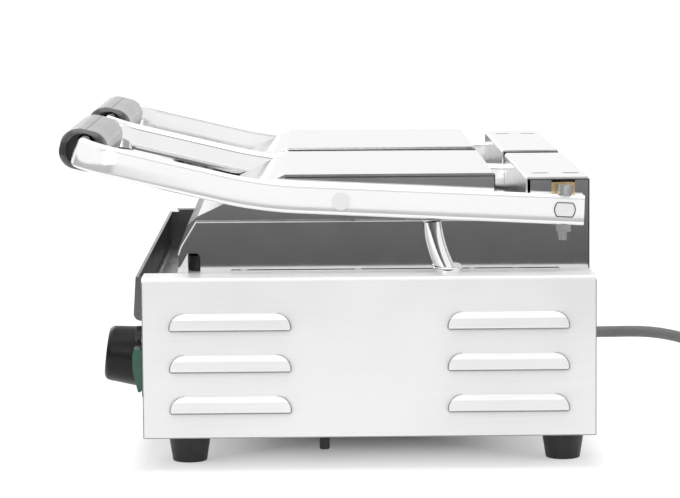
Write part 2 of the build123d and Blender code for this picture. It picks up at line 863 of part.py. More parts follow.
# Switch frames: the rocker switches' bezels and bodies, and the pilot lamps' bezels above them
switch_opening_width = rocker_width + 2 * rocker_gap
switch_opening_height = rocker_height + 2 * (rocker_gap + rocker_swing_room)
with BuildPart() as switch_frames:
    with BuildSketch(seen_from_front(panel_y)):
        with Locations(switch_spots):
            RectangleRounded(switch_frame_width, switch_frame_height, 2)
    extrude(amount=switch_frame_proud)
    fillet(switch_frames.edges().group_by(Axis.Y)[0], 0.8)
    with BuildSketch(seen_from_front(panel_y)):
        with Locations(switch_spots):
            Rectangle(switch_body_width, switch_body_height)
    extrude(amount=-switch_body_length)
    with BuildSketch(seen_from_front(panel_y - switch_frame_proud)):
        with Locations(switch_spots):
            Rectangle(switch_opening_width, switch_opening_height)
    extrude(amount=-switch_frame_proud - 12, mode=Mode.SUBTRACT)
    with BuildSketch(seen_from_front(panel_y)):
        with Locations(lamp_spots):
            Circle(lamp_bezel_diameter / 2)
    extrude(amount=lamp_bezel_proud)
    fillet(switch_frames.edges().group_by(Axis.Y)[0], 0.8)
    with BuildSketch(seen_from_front(panel_y)):
        with Locations(lamp_spots):
            Circle(lamp_diameter / 2)
    extrude(amount=lamp_bezel_proud, mode=Mode.SUBTRACT)
export(switch_frames, "switch_frames")

# Rockers: each turns about its middle, and rests with its upper half out
rocker_pivot_y = panel_y - 2
rocker_half = rocker_height / 2
rocker_front_y = panel_y - rocker_proud
for name, side in sides.items():
    with BuildPart() as rocker:
        with BuildSketch(seen_from_side(side * switch_x - rocker_width / 2)) as rocker_profile:
            with BuildLine():
                Polyline(
                    (rocker_pivot_y + 3, switch_height - 6),
                    (rocker_pivot_y + 3, switch_height + 6),
                    (rocker_pivot_y - 3, switch_height + rocker_half - 0.5),
                    (rocker_front_y + 1.5, switch_height + rocker_half),
                    (rocker_front_y + 0.2, switch_height + rocker_half - 4.5),
                    (rocker_front_y, switch_height + 1),
                    (rocker_front_y + rocker_slant, switch_height - rocker_half + 1),
                    (rocker_front_y + rocker_slant + 1, switch_height - rocker_half + 0.2),
                    (rocker_pivot_y - 3, switch_height - rocker_half + 0.5),
                    close=True,
                )
            make_face()
            fillet(rocker_profile.vertices().sort_by(Axis.X)[0], rocker_bow)
        extrude(amount=rocker_width)
    export(rocker, f"rocker_{name}")

# Pilot lamps: each lens lies just inside its bezel
with BuildPart() as pilot_lamps:
    with BuildSketch(seen_from_front(panel_y + lamp_body_length)):
        with Locations(lamp_spots):
            Circle(lamp_diameter / 2)
    extrude(amount=lamp_body_length + lamp_bezel_proud - lamp_sink)
    fillet(pilot_lamps.edges().group_by(Axis.Y)[0], 1.2)
export(pilot_lamps, "pilot_lamps")

# Terminal block on the bottom plate, near the cable gland
with BuildPart() as terminal_block:
    with Locations((0, rear_panel_y - terminal_setback, panel_bottom + terminal_height / 2)):
        Box(terminal_length, terminal_depth, terminal_height)
    with Locations((0, rear_panel_y - terminal_setback, panel_bottom + terminal_height)):
        with GridLocations(terminal_length / 5, terminal_depth / 2, 5, 2):
            Cylinder(3, terminal_height / 2, mode=Mode.SUBTRACT)
export(terminal_block, "terminal_block")


def arm_points(side, arm):
    """Side view of a handle arm: rear end, knee, and crossbar, with x at the arm's middle."""
    x = side * (grill_offset + arm * arm_offset)
    rear = hinge_y + arm_rear_overhang
    rear_z = hinge_z - arm_rear_overhang * tan(radians(arm_slope))
    return [(x, rear, rear_z), (x, knee_y, knee_z), (x, crossbar_y, crossbar_height)]


def tube_frame(side, width, height, corner):
    """The bent tube of a handle frame, swept whole, with the given section."""
    points = arm_points(side, 1) + arm_points(side, -1)[::-1]
    direction = Vector(*points[1]) - Vector(*points[0])
    with BuildPart(mode=Mode.PRIVATE) as tube:
        with BuildLine() as centreline:
            FilletPolyline(*points, radius=[knee_radius, crossbar_bend, crossbar_bend, knee_radius])
        with BuildSketch(Plane(origin=points[0], x_dir=(1, 0, 0), z_dir=direction)):
            RectangleRounded(width, height, corner)
        sweep(path=centreline.line)
    return tube.part


def across_arm(side, arm):
    """Plane at the hinge on one arm, whose normal is square to the arm's top."""
    slope = radians(arm_slope)
    x = side * (grill_offset + arm * arm_offset)
    return Plane(origin=(x, hinge_y, hinge_z), x_dir=(1, 0, 0), z_dir=(0, sin(slope), cos(slope)))


def double_d(length, x_start):
    """Shaft end with two flats, from x_start along +X."""
    with BuildPart(mode=Mode.PRIVATE) as end:
        with BuildSketch(seen_from_side(x_start)):
            with Locations((hinge_y, hinge_z)):
                Circle(shaft_diameter / 2)
                Rectangle(shaft_diameter, shaft_flats, rotation=-arm_slope, mode=Mode.INTERSECT)
        extrude(amount=length)
    return end.part


arm_inner_offset = arm_offset - arm_width / 2
arm_outer_offset = arm_offset + arm_width / 2
for name, side in sides.items():
    centre_x = side * grill_offset
    shaft_ends = [
        double_d(arm_width, centre_x - arm_outer_offset),
        double_d(arm_width, centre_x + arm_inner_offset),
    ]

    # Handle frame: one bent tube, open inside, with holes for the shaft, bolts and pivot pins
    with BuildPart() as handle_frame:
        add(tube_frame(side, arm_width, arm_height, arm_corner))
        bore = tube_frame(
            side, arm_width - 2 * arm_wall, arm_height - 2 * arm_wall, arm_corner - arm_wall
        )
        add(bore, mode=Mode.SUBTRACT)
        for end in shaft_ends:
            add(end, mode=Mode.SUBTRACT)
        for arm in (1, -1):
            with BuildSketch(across_arm(side, arm)):
                Circle(bolt_diameter / 2)
            extrude(amount=arm_height, both=True, mode=Mode.SUBTRACT)
            with BuildSketch(seen_from_side(centre_x + arm * arm_offset)):
                with Locations((pivot_y, pivot_z)):
                    Circle(pivot_diameter / 2)
            extrude(amount=arm_width, both=True, mode=Mode.SUBTRACT)
    export(handle_frame, f"handle_frame_{name}")

    # Grip: a moulded oval sleeve on the crossbar, with a recess round the tube at each end
    across_grip = Plane(
        origin=(centre_x, crossbar_y, crossbar_height),
        x_dir=(0, cos(grip_slope), -sin(grip_slope)),
        z_dir=(1, 0, 0),
    )
    with BuildPart() as grip:
        with BuildSketch(across_grip):
            RectangleRounded(grip_depth, grip_height, grip_corner)
        extrude(amount=grip_length / 2, both=True)
        grip_ends = grip.faces().sort_by(Axis.X)
        fillet(grip_ends[0].edges() + grip_ends[-1].edges(), grip_round)
        for end in (1, -1):
            recess_x = centre_x + end * (grip_length - grip_recess) / 2
            with Locations(Location((recess_x, crossbar_y, crossbar_height), (0, 90, 0))):
                Cylinder(grip_recess_diameter / 2, grip_recess, mode=Mode.SUBTRACT)
        with BuildSketch(across_grip):
            RectangleRounded(arm_width, arm_height, arm_corner)
        extrude(amount=grip_length, both=True, mode=Mode.SUBTRACT)
    export(grip, f"grip_{name}")

    # Hinge shaft, with two flats at each end that sit in the arms
    with BuildPart() as hinge_shaft:
        with Locations(Location((centre_x, hinge_y, hinge_z), (0, 90, 0))):
            Cylinder(shaft_diameter / 2, 2 * arm_inner_offset)
        for end in shaft_ends:
            add(end)
        for arm in (1, -1):
            with BuildSketch(across_arm(side, arm)):
                Circle(bolt_diameter / 2)
            extrude(amount=arm_height, both=True, mode=Mode.SUBTRACT)
    export(hinge_shaft, f"hinge_shaft_{name}")

    # Clamp bolts down through the arms and the shaft's ends, and their nuts
    with BuildPart() as clamp_bolts:
        for arm in (1, -1):
            with BuildSketch(across_arm(side, arm).offset(arm_height / 2)):
                Circle(bolt_head_diameter / 2)
            extrude(amount=bolt_head_height)
            with BuildSketch(across_arm(side, arm).offset(arm_height / 2)):
                Circle(bolt_diameter / 2)
            extrude(amount=-(arm_height + nut_height + bolt_tail))
        for arm in (1, -1):
            with BuildSketch(across_arm(side, arm).offset(arm_height / 2 + bolt_head_height)):
                RegularPolygon(2.9, 6)
            extrude(amount=-3, mode=Mode.SUBTRACT)
    export(clamp_bolts, f"clamp_bolts_{name}")

    with BuildPart() as clamp_nuts:
        for arm in (1, -1):
            with BuildSketch(across_arm(side, arm).offset(-arm_height / 2)):
                RegularPolygon(nut_across_flats / 2, 6, major_radius=False)
                Circle(bolt_diameter / 2, mode=Mode.SUBTRACT)
            extrude(amount=-nut_height)
    export(clamp_nuts, f"clamp_nuts_{name}")

    # Conduit: chromed tube from under the outer arm down into the base
    with BuildPart() as conduit:
        inner_diameter = conduit_diameter - 2 * conduit_wall
        add(conduit_arc(side, conduit_diameter, inner_diameter, 5, conduit_end_angle))
        with BuildSketch(across_arm(side, 1).offset(-arm_height / 2)):
            Rectangle(4 * arm_width, 2 * hinge_setback)
        extrude(amount=4 * arm_height, mode=Mode.SUBTRACT)
    export(conduit, f"conduit_{name}")

    # Pivot pins: disc head outside the arm, spacer between arm and head, collar inside the head
    head_half = head_width / 2
    with BuildPart() as pivot_pins:
        for arm in (1, -1):
            stack = [
                (arm_outer_offset, arm_outer_offset + pivot_disc_height, pivot_disc_diameter),
                (head_half - sheet - bracket_thickness - side_clearance, arm_outer_offset, pivot_diameter),
                (head_half + side_clearance, arm_inner_offset, pivot_spacer_diameter),
                (
                    head_half - sheet - bracket_thickness - side_clearance - pivot_collar_length,
                    head_half - sheet - bracket_thickness - side_clearance,
                    pivot_collar_diameter,
                ),
            ]
            for near, far, diameter in stack:
                middle = centre_x + arm * (near + far) / 2
                with Locations(Location((middle, pivot_y, pivot_z), (0, 90, 0))):
                    Cylinder(diameter / 2, far - near)
    export(pivot_pins, f"pivot_pins_{name}")

    # Head casing: a folded hood, open below
    with BuildPart() as head_casing:
        with BuildSketch(seen_from_side(centre_x - head_half)) as hood_profile:
            with BuildLine():
                Polyline(
                    (front_y + head_front, head_bottom),
                    (front_y + head_rear, head_bottom),
                    (front_y + head_rear, head_top),
                    (front_y + head_slope_top, head_top),
                    (front_y + head_brow_y, head_brow_z),
                    (front_y + head_chin_y, head_chin_z),
                    close=True,
                )
            make_face()
            fillet(hood_profile.vertices().group_by(Axis.Y)[-1], head_fold)
        extrude(amount=head_width)
        offset(amount=-sheet, openings=head_casing.faces().sort_by(Axis.Z)[0], kind=Kind.INTERSECTION)
        with BuildSketch(seen_from_side(centre_x - head_half)):
            with Locations((pivot_y, pivot_z)):
                Circle(pivot_diameter / 2 + running_clearance)
        extrude(amount=head_width, mode=Mode.SUBTRACT)
    export(head_casing, f"head_casing_{name}")

    # Upper plate: a ribbed casting
    with BuildPart() as upper_plate:
        with BuildSketch(Plane.XY.offset(upper_bottom_z)):
            with Locations((centre_x, upper_centre_y)):
                RectangleRounded(upper_plate_width, upper_plate_depth, 6)
        extrude(amount=upper_plate_height)
        fillet(upper_plate.faces().sort_by(Axis.Z)[0].edges(), 1.5)
        with BuildSketch(Plane.XY.offset(upper_bottom_z)):
            with Locations((centre_x, upper_centre_y)):
                with GridLocations(groove_pitch, 1, groove_count(upper_plate_width), 1):
                    SlotOverall(upper_plate_depth - 2 * plate_rim, groove_width, rotation=90)
        extrude(amount=groove_depth, mode=Mode.SUBTRACT)
    export(upper_plate, f"upper_plate_{name}")

    # Pivot brackets: stand on the upper plate inside the casing's sides
    with BuildPart() as pivot_brackets:
        for arm in (1, -1):
            bracket_x = centre_x + arm * (head_half - sheet - bracket_thickness)
            with BuildSketch(seen_from_side(bracket_x)):
                with Locations((pivot_y, (upper_top_z + pivot_z + bracket_rise) / 2)):
                    Rectangle(bracket_depth, pivot_z + bracket_rise - upper_top_z)
                with Locations((pivot_y, pivot_z)):
                    Circle(pivot_diameter / 2 + running_clearance, mode=Mode.SUBTRACT)
            extrude(amount=arm * bracket_thickness)
    export(pivot_brackets, f"pivot_brackets_{name}")

    # Upper heating element on the casting's back, and the insulation over it
    with BuildPart() as upper_element:
        upper_element_z = upper_top_z + element_diameter / 2
        upper_run = upper_plate_depth - upper_element_run_margin
        add(heating_element(centre_x, upper_centre_y, upper_element_z, upper_run, upper_element_gap))
    export(upper_element, f"upper_element_{name}")

    with BuildPart() as upper_insulation:
        with BuildSketch(Plane.XY.offset(upper_top_z + element_diameter)):
            with Locations((centre_x, upper_centre_y)):
                Rectangle(
                    upper_plate_width - 2 * upper_wool_side_gap,
                    upper_plate_depth - 2 * upper_wool_end_gap,
                )
        extrude(amount=insulation_height)
    export(upper_insulation, f"upper_insulation_{name}")

    # Hinge cover: top of the tower, with its front folded down and two air slots near its outer end
    cover_front_y = front_y + tower_front - cover_overhang
    cover_rear_y = guard_rear_y - 0.6
    cover_middle_y = (cover_front_y + cover_rear_y) / 2
    with BuildPart() as hinge_cover:
        with BuildSketch(seen_from_side(centre_x - tower_half_width)) as cover_profile:
            with BuildLine():
                Polyline(
                    (cover_front_y, tower_top - cover_drop),
                    (cover_front_y + sheet, tower_top - cover_drop),
                    (cover_front_y + sheet, tower_cap_z),
                    (cover_rear_y, tower_cap_z),
                    (cover_rear_y, tower_top),
                    (cover_front_y, tower_top),
                    close=True,
                )
            make_face()
        extrude(amount=2 * tower_half_width)
        cover_corner = hinge_cover.edges().filter_by(Axis.X).group_by(Axis.Z)[-1].sort_by(Axis.Y)[0]
        fillet(cover_corner, 2.5)
        with BuildSketch(Plane.XY.offset(tower_cap_z)):
            with Locations((centre_x + side * (tower_half_width - cover_slot_inset), cover_middle_y + 1.5)):
                with GridLocations(1, cover_slot_pitch, 1, 2):
                    SlotOverall(cover_slot_length, cover_slot_width, rotation=90)
        extrude(amount=sheet, mode=Mode.SUBTRACT)
        add(splash_guard.part, mode=Mode.SUBTRACT)
    export(hinge_cover, f"hinge_cover_{name}")

# Cable gland: flange outside the rear panel, tapered nose, nut inside
with BuildPart() as cable_gland:
    with BuildSketch(seen_from_front(rear_panel_y)):
        with Locations((0, cord_height)):
            Circle(gland_diameter / 2)
    extrude(amount=-gland_flange)
    with BuildSketch(seen_from_front(rear_panel_y + gland_flange)):
        with Locations((0, cord_height)):
            Circle(gland_diameter / 2 - 2)
    nose_taper = degrees(atan2((gland_diameter - gland_tip_diameter) / 2 - 2, gland_nose))
    extrude(amount=-gland_nose, taper=nose_taper)
    with BuildSketch(seen_from_front(rear_panel_y)):
        with Locations((0, cord_height)):
            Circle(gland_tip_diameter / 2)
    extrude(amount=sheet)
    with BuildSketch(seen_from_front(rear_panel_y - sheet)):
        with Locations((0, cord_height)):
            RegularPolygon(gland_diameter / 2, 6)
    extrude(amount=gland_nut)
export(cable_gland, "cable_gland")

# Mains cord: out of the gland, level, then down on to its coil; the tail goes on to the plug
gland_end_y = rear_panel_y + gland_flange + gland_nose
coil_x = coil_centre_x
coil_y = rear_y + coil_behind
coil_height = coil_layers * cord_diameter
coil_outer = coil_turn_radius + cord_diameter
coil_inner = coil_turn_radius - cord_diameter
outer_turn = coil_turn_radius + cord_diameter / 2
lead_points = [
    (0, gland_end_y, cord_height),
    (0, rear_y + 34, cord_height),
    (0, rear_y + 74, cord_height + 0.3),
    (0, rear_y + 110, cord_height - 9.5),
    (0, rear_y + 141, cord_height - 24),
    (0, rear_y + 170, coil_height - cord_diameter / 2),
]
tail_z = 1.5 * cord_diameter
plug_z = plug_diameter / 2
plug_x = coil_x - plug_tail
tail_points = [
    (coil_x, coil_y + outer_turn, tail_z),
    (coil_x - 17, coil_y + outer_turn, tail_z),
    (coil_x - 38, coil_y + outer_turn, plug_z),
    (plug_x, coil_y + outer_turn, plug_z),
]


def corner_radii(points):
    """Largest arc at each corner of a route: 0.45 of the shorter run over the tangent of half the turn."""
    radii = []
    for before, corner, after in zip(points, points[1:], points[2:]):
        run_in = Vector(*corner) - Vector(*before)
        run_out = Vector(*after) - Vector(*corner)
        half_turn = radians(run_in.get_angle(run_out)) / 2
        radii.append(0.45 * min(run_in.length, run_out.length) / tan(half_turn))
    return radii


def cord_tube(points):
    """Round cord along a route of straight runs joined by tangent arcs."""
    radii = corner_radii(points)
    print("cord radii", [round(radius) for radius in radii])
    direction = Vector(*points[1]) - Vector(*points[0])
    with BuildPart(mode=Mode.PRIVATE) as tube:
        with BuildLine() as route:
            FilletPolyline(*points, radius=radii)
        with BuildSketch(Plane(origin=points[0], z_dir=direction)):
            Circle(cord_diameter / 2)
        sweep(path=route.line)
    length = route.wire().length
    straight_volume = pi * cord_diameter**2 / 4 * length
    print("cord length", round(length, 1), "volume ratio", round(tube.part.volume / straight_volume, 4))
    return tube.part


with BuildPart() as cord_coil:
    with BuildSketch(Plane.XY):
        with Locations((coil_x, coil_y)):
            Circle(coil_outer)
            Circle(coil_inner, mode=Mode.SUBTRACT)
    extrude(amount=coil_height)
    fillet(cord_coil.edges().group_by(Axis.Z)[-1], 3)
export(cord_coil, "cord_coil")

with BuildPart() as power_cord:
    add(cord_tube(lead_points))
    add(cord_tube(tail_points))
    add(cord_coil.part, mode=Mode.SUBTRACT)
export(power_cord, "power_cord")

# Plug: round two-pin plug lying beside the coil
with BuildPart() as plug:
    plug_plane = Plane(origin=(plug_x, coil_y + outer_turn, plug_z), x_dir=(0, 1, 0), z_dir=(-1, 0, 0))
    with BuildSketch(plug_plane):
        Circle(plug_relief_diameter / 2)
    extrude(amount=plug_relief_length)
    with BuildSketch(plug_plane.offset(plug_relief_length)):
        Circle(plug_relief_diameter / 2 + 2)
    with BuildSketch(plug_plane.offset(plug_relief_length + plug_grip_length)):
        Circle(plug_diameter / 2)
    loft()
    with BuildSketch(plug_plane.offset(plug_relief_length + plug_grip_length)):
        Circle(plug_diameter / 2)
    extrude(amount=plug_face_length)
    with BuildSketch(plug_plane.offset(plug_relief_length + plug_grip_length + plug_face_length)):
        with GridLocations(plug_pin_spacing, 1, 2, 1):
            Circle(plug_pin_diameter / 2)
    extrude(amount=plug_pin_length)
export(plug, "plug")
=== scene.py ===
import bmesh
import bpy
from math import atan2, cos, pi, radians, sin, sqrt, tan
from mathutils import Matrix, Quaternion, Vector
from mathutils.bvhtree import BVHTree


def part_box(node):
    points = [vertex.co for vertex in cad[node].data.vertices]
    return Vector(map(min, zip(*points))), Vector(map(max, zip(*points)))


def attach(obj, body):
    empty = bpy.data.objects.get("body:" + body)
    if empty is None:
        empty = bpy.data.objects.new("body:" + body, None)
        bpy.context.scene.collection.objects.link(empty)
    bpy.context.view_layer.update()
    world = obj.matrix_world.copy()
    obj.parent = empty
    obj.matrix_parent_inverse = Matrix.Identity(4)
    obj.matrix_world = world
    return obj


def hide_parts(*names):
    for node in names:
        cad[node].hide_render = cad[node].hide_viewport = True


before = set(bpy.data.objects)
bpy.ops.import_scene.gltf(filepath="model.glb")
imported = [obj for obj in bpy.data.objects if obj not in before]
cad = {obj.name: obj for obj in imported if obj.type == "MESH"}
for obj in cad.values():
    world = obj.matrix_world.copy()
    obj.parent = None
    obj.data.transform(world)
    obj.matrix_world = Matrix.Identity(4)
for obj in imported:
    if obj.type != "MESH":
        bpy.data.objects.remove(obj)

scene = bpy.context.scene
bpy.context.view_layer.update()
scene.view_settings.view_transform = "Standard"

# The photograph was taken from the grill's right side, a little above it, from about two metres.
# The camera stands there, square to the side but for a small turn, tilt and roll.
camera_data = bpy.data.cameras.new("camera")
camera_data.sensor_width = 36
camera_data.lens = 156.2
camera_data.clip_start = 0.05
camera_data.clip_end = 60
look = Vector((-1, 0.00785, -0.10536))


def linked(name, data):
    """An object that holds the data, put in the scene."""
    piece = bpy.data.objects.new(name, data)
    scene.collection.objects.link(piece)
    return piece


camera = linked("camera", camera_data)
camera.location = (2.305, -0.00495, 0.366)
camera.rotation_mode = "QUATERNION"
camera.rotation_quaternion = look.to_track_quat("-Z", "Y") @ Quaternion((0, 0, 1), radians(-0.43))
scene.camera = camera

# Mains cord: round three-core rubber lead, 8.7 mm thick. It leaves the gland level, sinks to the
# worktop behind the grill, and the rest of it is wound into a neat coil that ends in the plug.
cord_diameter = 0.0087
cord_exit = (0, 0.19975, 0.0559)
plug_start = Vector((-0.1082, 0.40595, 0.0185))
coil_centre = Vector((-0.0522, 0.35375))
coil_outer_turn = 0.0522
coil_inner_turn = 0.0435
curve_share = 0.981  # the smooth curve runs this share as far out as the points that guide it
layer_turn = 110  # degrees in which the cord climbs or sinks from one layer to the next
cord_route = [
    cord_exit,
    (0, 0.22175, 0.0559),
    (0, 0.26175, 0.0562),
    (0, 0.29775, 0.0464),
    (0, 0.32275, 0.0319),
    (0, 0.34175, 0.0232),
]


def eased(value):
    """The value kept from 0 to 1, with a soft start and end."""
    value = min(1, max(0, value))
    return value * value * (3 - 2 * value)


for step in range(69):
    turned_by = 22.5 * step
    towards_inner = min(1, turned_by / 180) - min(1, max(0, (turned_by - 900) / 180))
    turn_radius = (coil_outer_turn + (coil_inner_turn - coil_outer_turn) * towards_inner) / curve_share
    layers_sunk = eased((turned_by - 330) / layer_turn) + eased((turned_by - 690) / layer_turn)
    height = 2.5 * cord_diameter
    height -= cord_diameter * layers_sunk
    height += cord_diameter * eased((turned_by - 1230) / layer_turn)
    x = coil_centre.x + turn_radius * cos(radians(turned_by))
    y = coil_centre.y + turn_radius * sin(radians(turned_by))
    cord_route.append((x, y, height))
cord_route += [(-0.0692, 0.40595, 0.01305), (-0.0902, 0.40595, 0.0185), tuple(plug_start)]
cord_line = bpy.data.curves.new("mains_cord", "CURVE")
cord_line.dimensions = "3D"
cord_spline = cord_line.splines.new("NURBS")
cord_spline.points.add(len(cord_route) - 1)
for point, place in zip(cord_spline.points, cord_route):
    point.co = (*place, 1)
cord_spline.order_u = 3
cord_spline.use_endpoint_u = True
cord_line.resolution_u = 5
cord_line.bevel_depth = cord_diameter / 2
cord_line.bevel_resolution = 5
cord_line.use_fill_caps = True
mains_cord = linked("mains_cord", cord_line)


def added(tree, kind, values):
    """A node of that kind, its inputs set to plain values or joined to other nodes' outputs."""
    node = tree.nodes.new(kind)
    for label, value in values.items():
        if isinstance(value, bpy.types.NodeSocket):
            tree.links.new(value, node.inputs[label])
        else:
            node.inputs[label].default_value = value
    return node


def grey(share):
    """A neutral colour."""
    return share, share, share


def new_material(name, colour, roughness, metallic=0.0):
    """A material, with its tree, its shader and its object coordinates."""
    material = bpy.data.materials.new(name)
    material.use_nodes = True
    tree = material.node_tree
    shader = tree.nodes["Principled BSDF"]
    for label, value in {"Base Color": (*colour, 1), "Roughness": roughness, "Metallic": metallic}.items():
        shader.inputs[label].default_value = value
    place = tree.nodes.new("ShaderNodeTexCoord")
    return material, tree, shader, place.outputs["Object"]


def speckle(tree, place, size, stretch=(1, 1, 1), detail=4.0):
    """Noise whose grains are about size metres across, longer along the axes with a small stretch."""
    mapping = added(tree, "ShaderNodeMapping", {"Scale": stretch, "Vector": place})
    grains = {"Scale": 1 / size, "Detail": detail, "Vector": mapping.outputs["Vector"]}
    return added(tree, "ShaderNodeTexNoise", grains).outputs["Fac"]


def spread(tree, source, low, high, start=0.3, end=0.7):
    """The source's values from start to end, spread from low to high."""
    ends = {"From Min": start, "From Max": end, "To Min": low, "To Max": high, "Value": source}
    return added(tree, "ShaderNodeMapRange", ends).outputs["Result"]


def blend_colours(tree, source, first, second):
    """A colour from first to second, as the source goes from 0 to 1."""
    mix = tree.nodes.new("ShaderNodeMix")
    mix.data_type = "RGBA"
    mix.inputs["A"].default_value = (*first, 1)
    mix.inputs["B"].default_value = (*second, 1)
    tree.links.new(source, mix.inputs["Factor"])
    return mix.outputs["Result"]


def dent(tree, shader, source, strength, depth):
    """A bump of that depth in metres, from the source."""
    bump = added(tree, "ShaderNodeBump", {"Strength": strength, "Distance": depth, "Height": source})
    tree.links.new(bump.outputs["Normal"], shader.inputs["Normal"])


def shaded(tree, shader, colour, roughness):
    """Joins the colour and the roughness to the shader."""
    tree.links.new(colour, shader.inputs["Base Color"])
    tree.links.new(roughness, shader.inputs["Roughness"])


def moulded(name, light, dark, roughness, grain, depth, coat=0.0):
    """Moulded rubber or plastic: two close shades, a fine grain, and a roughness that varies."""
    material, tree, shader, place = new_material(name, light, roughness)
    patches = spread(tree, speckle(tree, place, 0.02), 0, 1)
    wear = spread(tree, speckle(tree, place, 0.006), roughness - 0.06, roughness + 0.06)
    shaded(tree, shader, blend_colours(tree, patches, dark, light), wear)
    dent(tree, shader, speckle(tree, place, grain, detail=2.0), 0.4, depth)
    shader.inputs["Coat Weight"].default_value = coat
    shader.inputs["Coat Roughness"].default_value = 0.08
    return material


def turned(name, profile, start, along, material, segments=48):
    """A lathe-turned piece: the profile's (distance, radius) pairs turned about a line from start."""
    along = Vector(along).normalized()
    across = along.orthogonal().normalized()
    other = along.cross(across)
    shape = bmesh.new()
    rings = []
    for distance, radius in profile:
        centre = Vector(start) + along * distance
        ring = []
        for step in range(segments):
            angle = 2 * pi * step / segments
            ring.append(shape.verts.new(centre + (across * cos(angle) + other * sin(angle)) * radius))
        rings.append(ring)
    for low, high in zip(rings, rings[1:]):
        for step in range(segments):
            after = (step + 1) % segments
            shape.faces.new((low[step], low[after], high[after], high[step]))
    shape.faces.new(rings[0][::-1])
    shape.faces.new(rings[-1])
    return finished(name, shape, material)


def smoothed(name, mesh, material, sharp):
    """An object of the mesh in its material, smooth but for edges sharper than that angle."""
    mesh.polygons.foreach_set("use_smooth", [True] * len(mesh.polygons))
    mesh.set_sharp_from_angle(angle=radians(sharp))
    mesh.materials.append(material)
    return linked(name, mesh)


def finished(name, shape, material, sharp=35):
    """A smoothed object from a bmesh shape."""
    bmesh.ops.recalc_face_normals(shape, faces=shape.faces)
    mesh = bpy.data.meshes.new(name)
    shape.to_mesh(mesh)
    shape.free()
    return smoothed(name, mesh, material, sharp)


cord_skin = moulded("cord_skin", grey(0.19), grey(0.14), 0.5, 0.0006, 0.00008)
cord_line.materials.append(cord_skin)
plug_skin = moulded("plug_skin", grey(0.05), grey(0.035), 0.42, 0.0005, 0.00006)

# Cable gland: a black moulded strain relief, pushed through the rear panel from behind. It grips
# the cord, and the ribs on its nose let it bend.
gland_profile = [(-0.0062, 0.0095), (-0.0012, 0.0095), (-0.0012, 0.0060), (0, 0.0060), (0, 0.0100)]
gland_profile += [(0.0024, 0.0100), (0.0030, 0.0094), (0.0030, 0.0080)]
for rib in range(6):
    place = 0.0045 + 0.0035 * rib
    width = 0.0080 - 0.0004 * rib
    gland_profile += [(place, width), (place + 0.0004, width - 0.0009)]
    gland_profile += [(place + 0.0014, width - 0.0010), (place + 0.0018, width - 0.0003)]
gland_profile += [(0.0260, 0.0058), (0.0260, cord_diameter / 2)]
cord_gland = turned("cord_gland", gland_profile, (0, 0.17375, 0.0559), (0, 1, 0), plug_skin)
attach(cord_gland, "base")
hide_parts("cable_gland")

# Plug: a round two-pin mains plug moulded onto the cord's end, with a ribbed relief. Its pins are
# turned and plated, and two sprung earth strips lie in its sides.
plug_profile = [(0.0, cord_diameter / 2), (0.0, 0.0056)]
for rib in range(5):
    place = 0.0022 + 0.0042 * rib
    plug_profile += [(place, 0.0060 + 0.0002 * rib), (place + 0.0005, 0.0050)]
    plug_profile += [(place + 0.0017, 0.0050), (place + 0.0022, 0.0060 + 0.0002 * rib)]
plug_profile += [(0.0245, 0.0078), (0.0300, 0.0096), (0.0360, 0.0138), (0.0405, 0.0172)]
plug_profile += [(0.0440, 0.0183), (0.0460, 0.0185), (0.0610, 0.0185), (0.0620, 0.0176)]
plug_profile += [(0.0620, 0.0160), (0.0612, 0.0155), (0.0612, 0.0040)]
plug_body = turned("plug_body", plug_profile, plug_start, (-1, 0, 0), plug_skin, 64)
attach(plug_body, "base")
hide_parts("plug")


def metal(name, light, dark, roughness, grain, stretch=(1, 1, 1), depth=0.0, metallic=1.0, change=0.05):
    """Bare or plated metal: two close shades, brushed or smudged, with a fine bump."""
    material, tree, shader, place = new_material(name, light, roughness, metallic)
    shade = spread(tree, speckle(tree, place, grain, stretch), 0, 1)
    smudge = spread(tree, speckle(tree, place, 0.03), max(0.02, roughness - change), roughness + change)
    shaded(tree, shader, blend_colours(tree, shade, dark, light), smudge)
    if depth:
        dent(tree, shader, speckle(tree, place, grain, stretch, 2.0), 0.5, depth)
    return material


pin_metal = metal("pin_metal", (0.80, 0.80, 0.78), (0.68, 0.68, 0.66), 0.22, 0.004)
pin_profile = [(0.0, 0.0019), (0.0008, 0.0024), (0.0180, 0.0024), (0.0198, 0.0016), (0.0200, 0.0006)]
plug_extras = []
for number, side in enumerate((1, -1)):
    pin_start = plug_start + Vector((-0.0608, 0.0095 * side, 0))
    plug_extras.append(turned(f"plug_pin_{number + 1}", pin_profile, pin_start, (-1, 0, 0), pin_metal, 24))
earth_shape = bmesh.new()
for side in (1, -1):
    place = plug_start + Vector((-0.0560, 0, 0.0181 * side))
    size = Matrix.Diagonal((0.0100, 0.0042, 0.0007, 1))
    bmesh.ops.create_cube(earth_shape, size=1, matrix=Matrix.Translation(place) @ size)
bmesh.ops.bevel(earth_shape, geom=earth_shape.edges[:], offset=0.0002, segments=2, affect="EDGES")
plug_extras.append(finished("plug_earth", earth_shape, pin_metal))
for piece in plug_extras:
    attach(piece, "base")

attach(mains_cord, "base")
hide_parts("power_cord", "cord_coil")

# Studio: a white floor that keeps the grill's soft shadow, white all round, and soft boxes above
# and at the sides. A low dark screen and two hung cards, seen only in reflections, give the metal
# its edges and its greys.
world = bpy.data.worlds.new("studio")
scene.world = world
world.use_nodes = True
air = world.node_tree
air.nodes.clear()
white = (1, 1, 1, 1)


def worked(tree, operation, *parts, kind="ShaderNodeMath", part=0):
    """A number or vector worked out from others, each a socket or a plain value."""
    node = added(tree, kind, dict(enumerate(parts)))
    node.operation = operation
    return node.outputs[part]


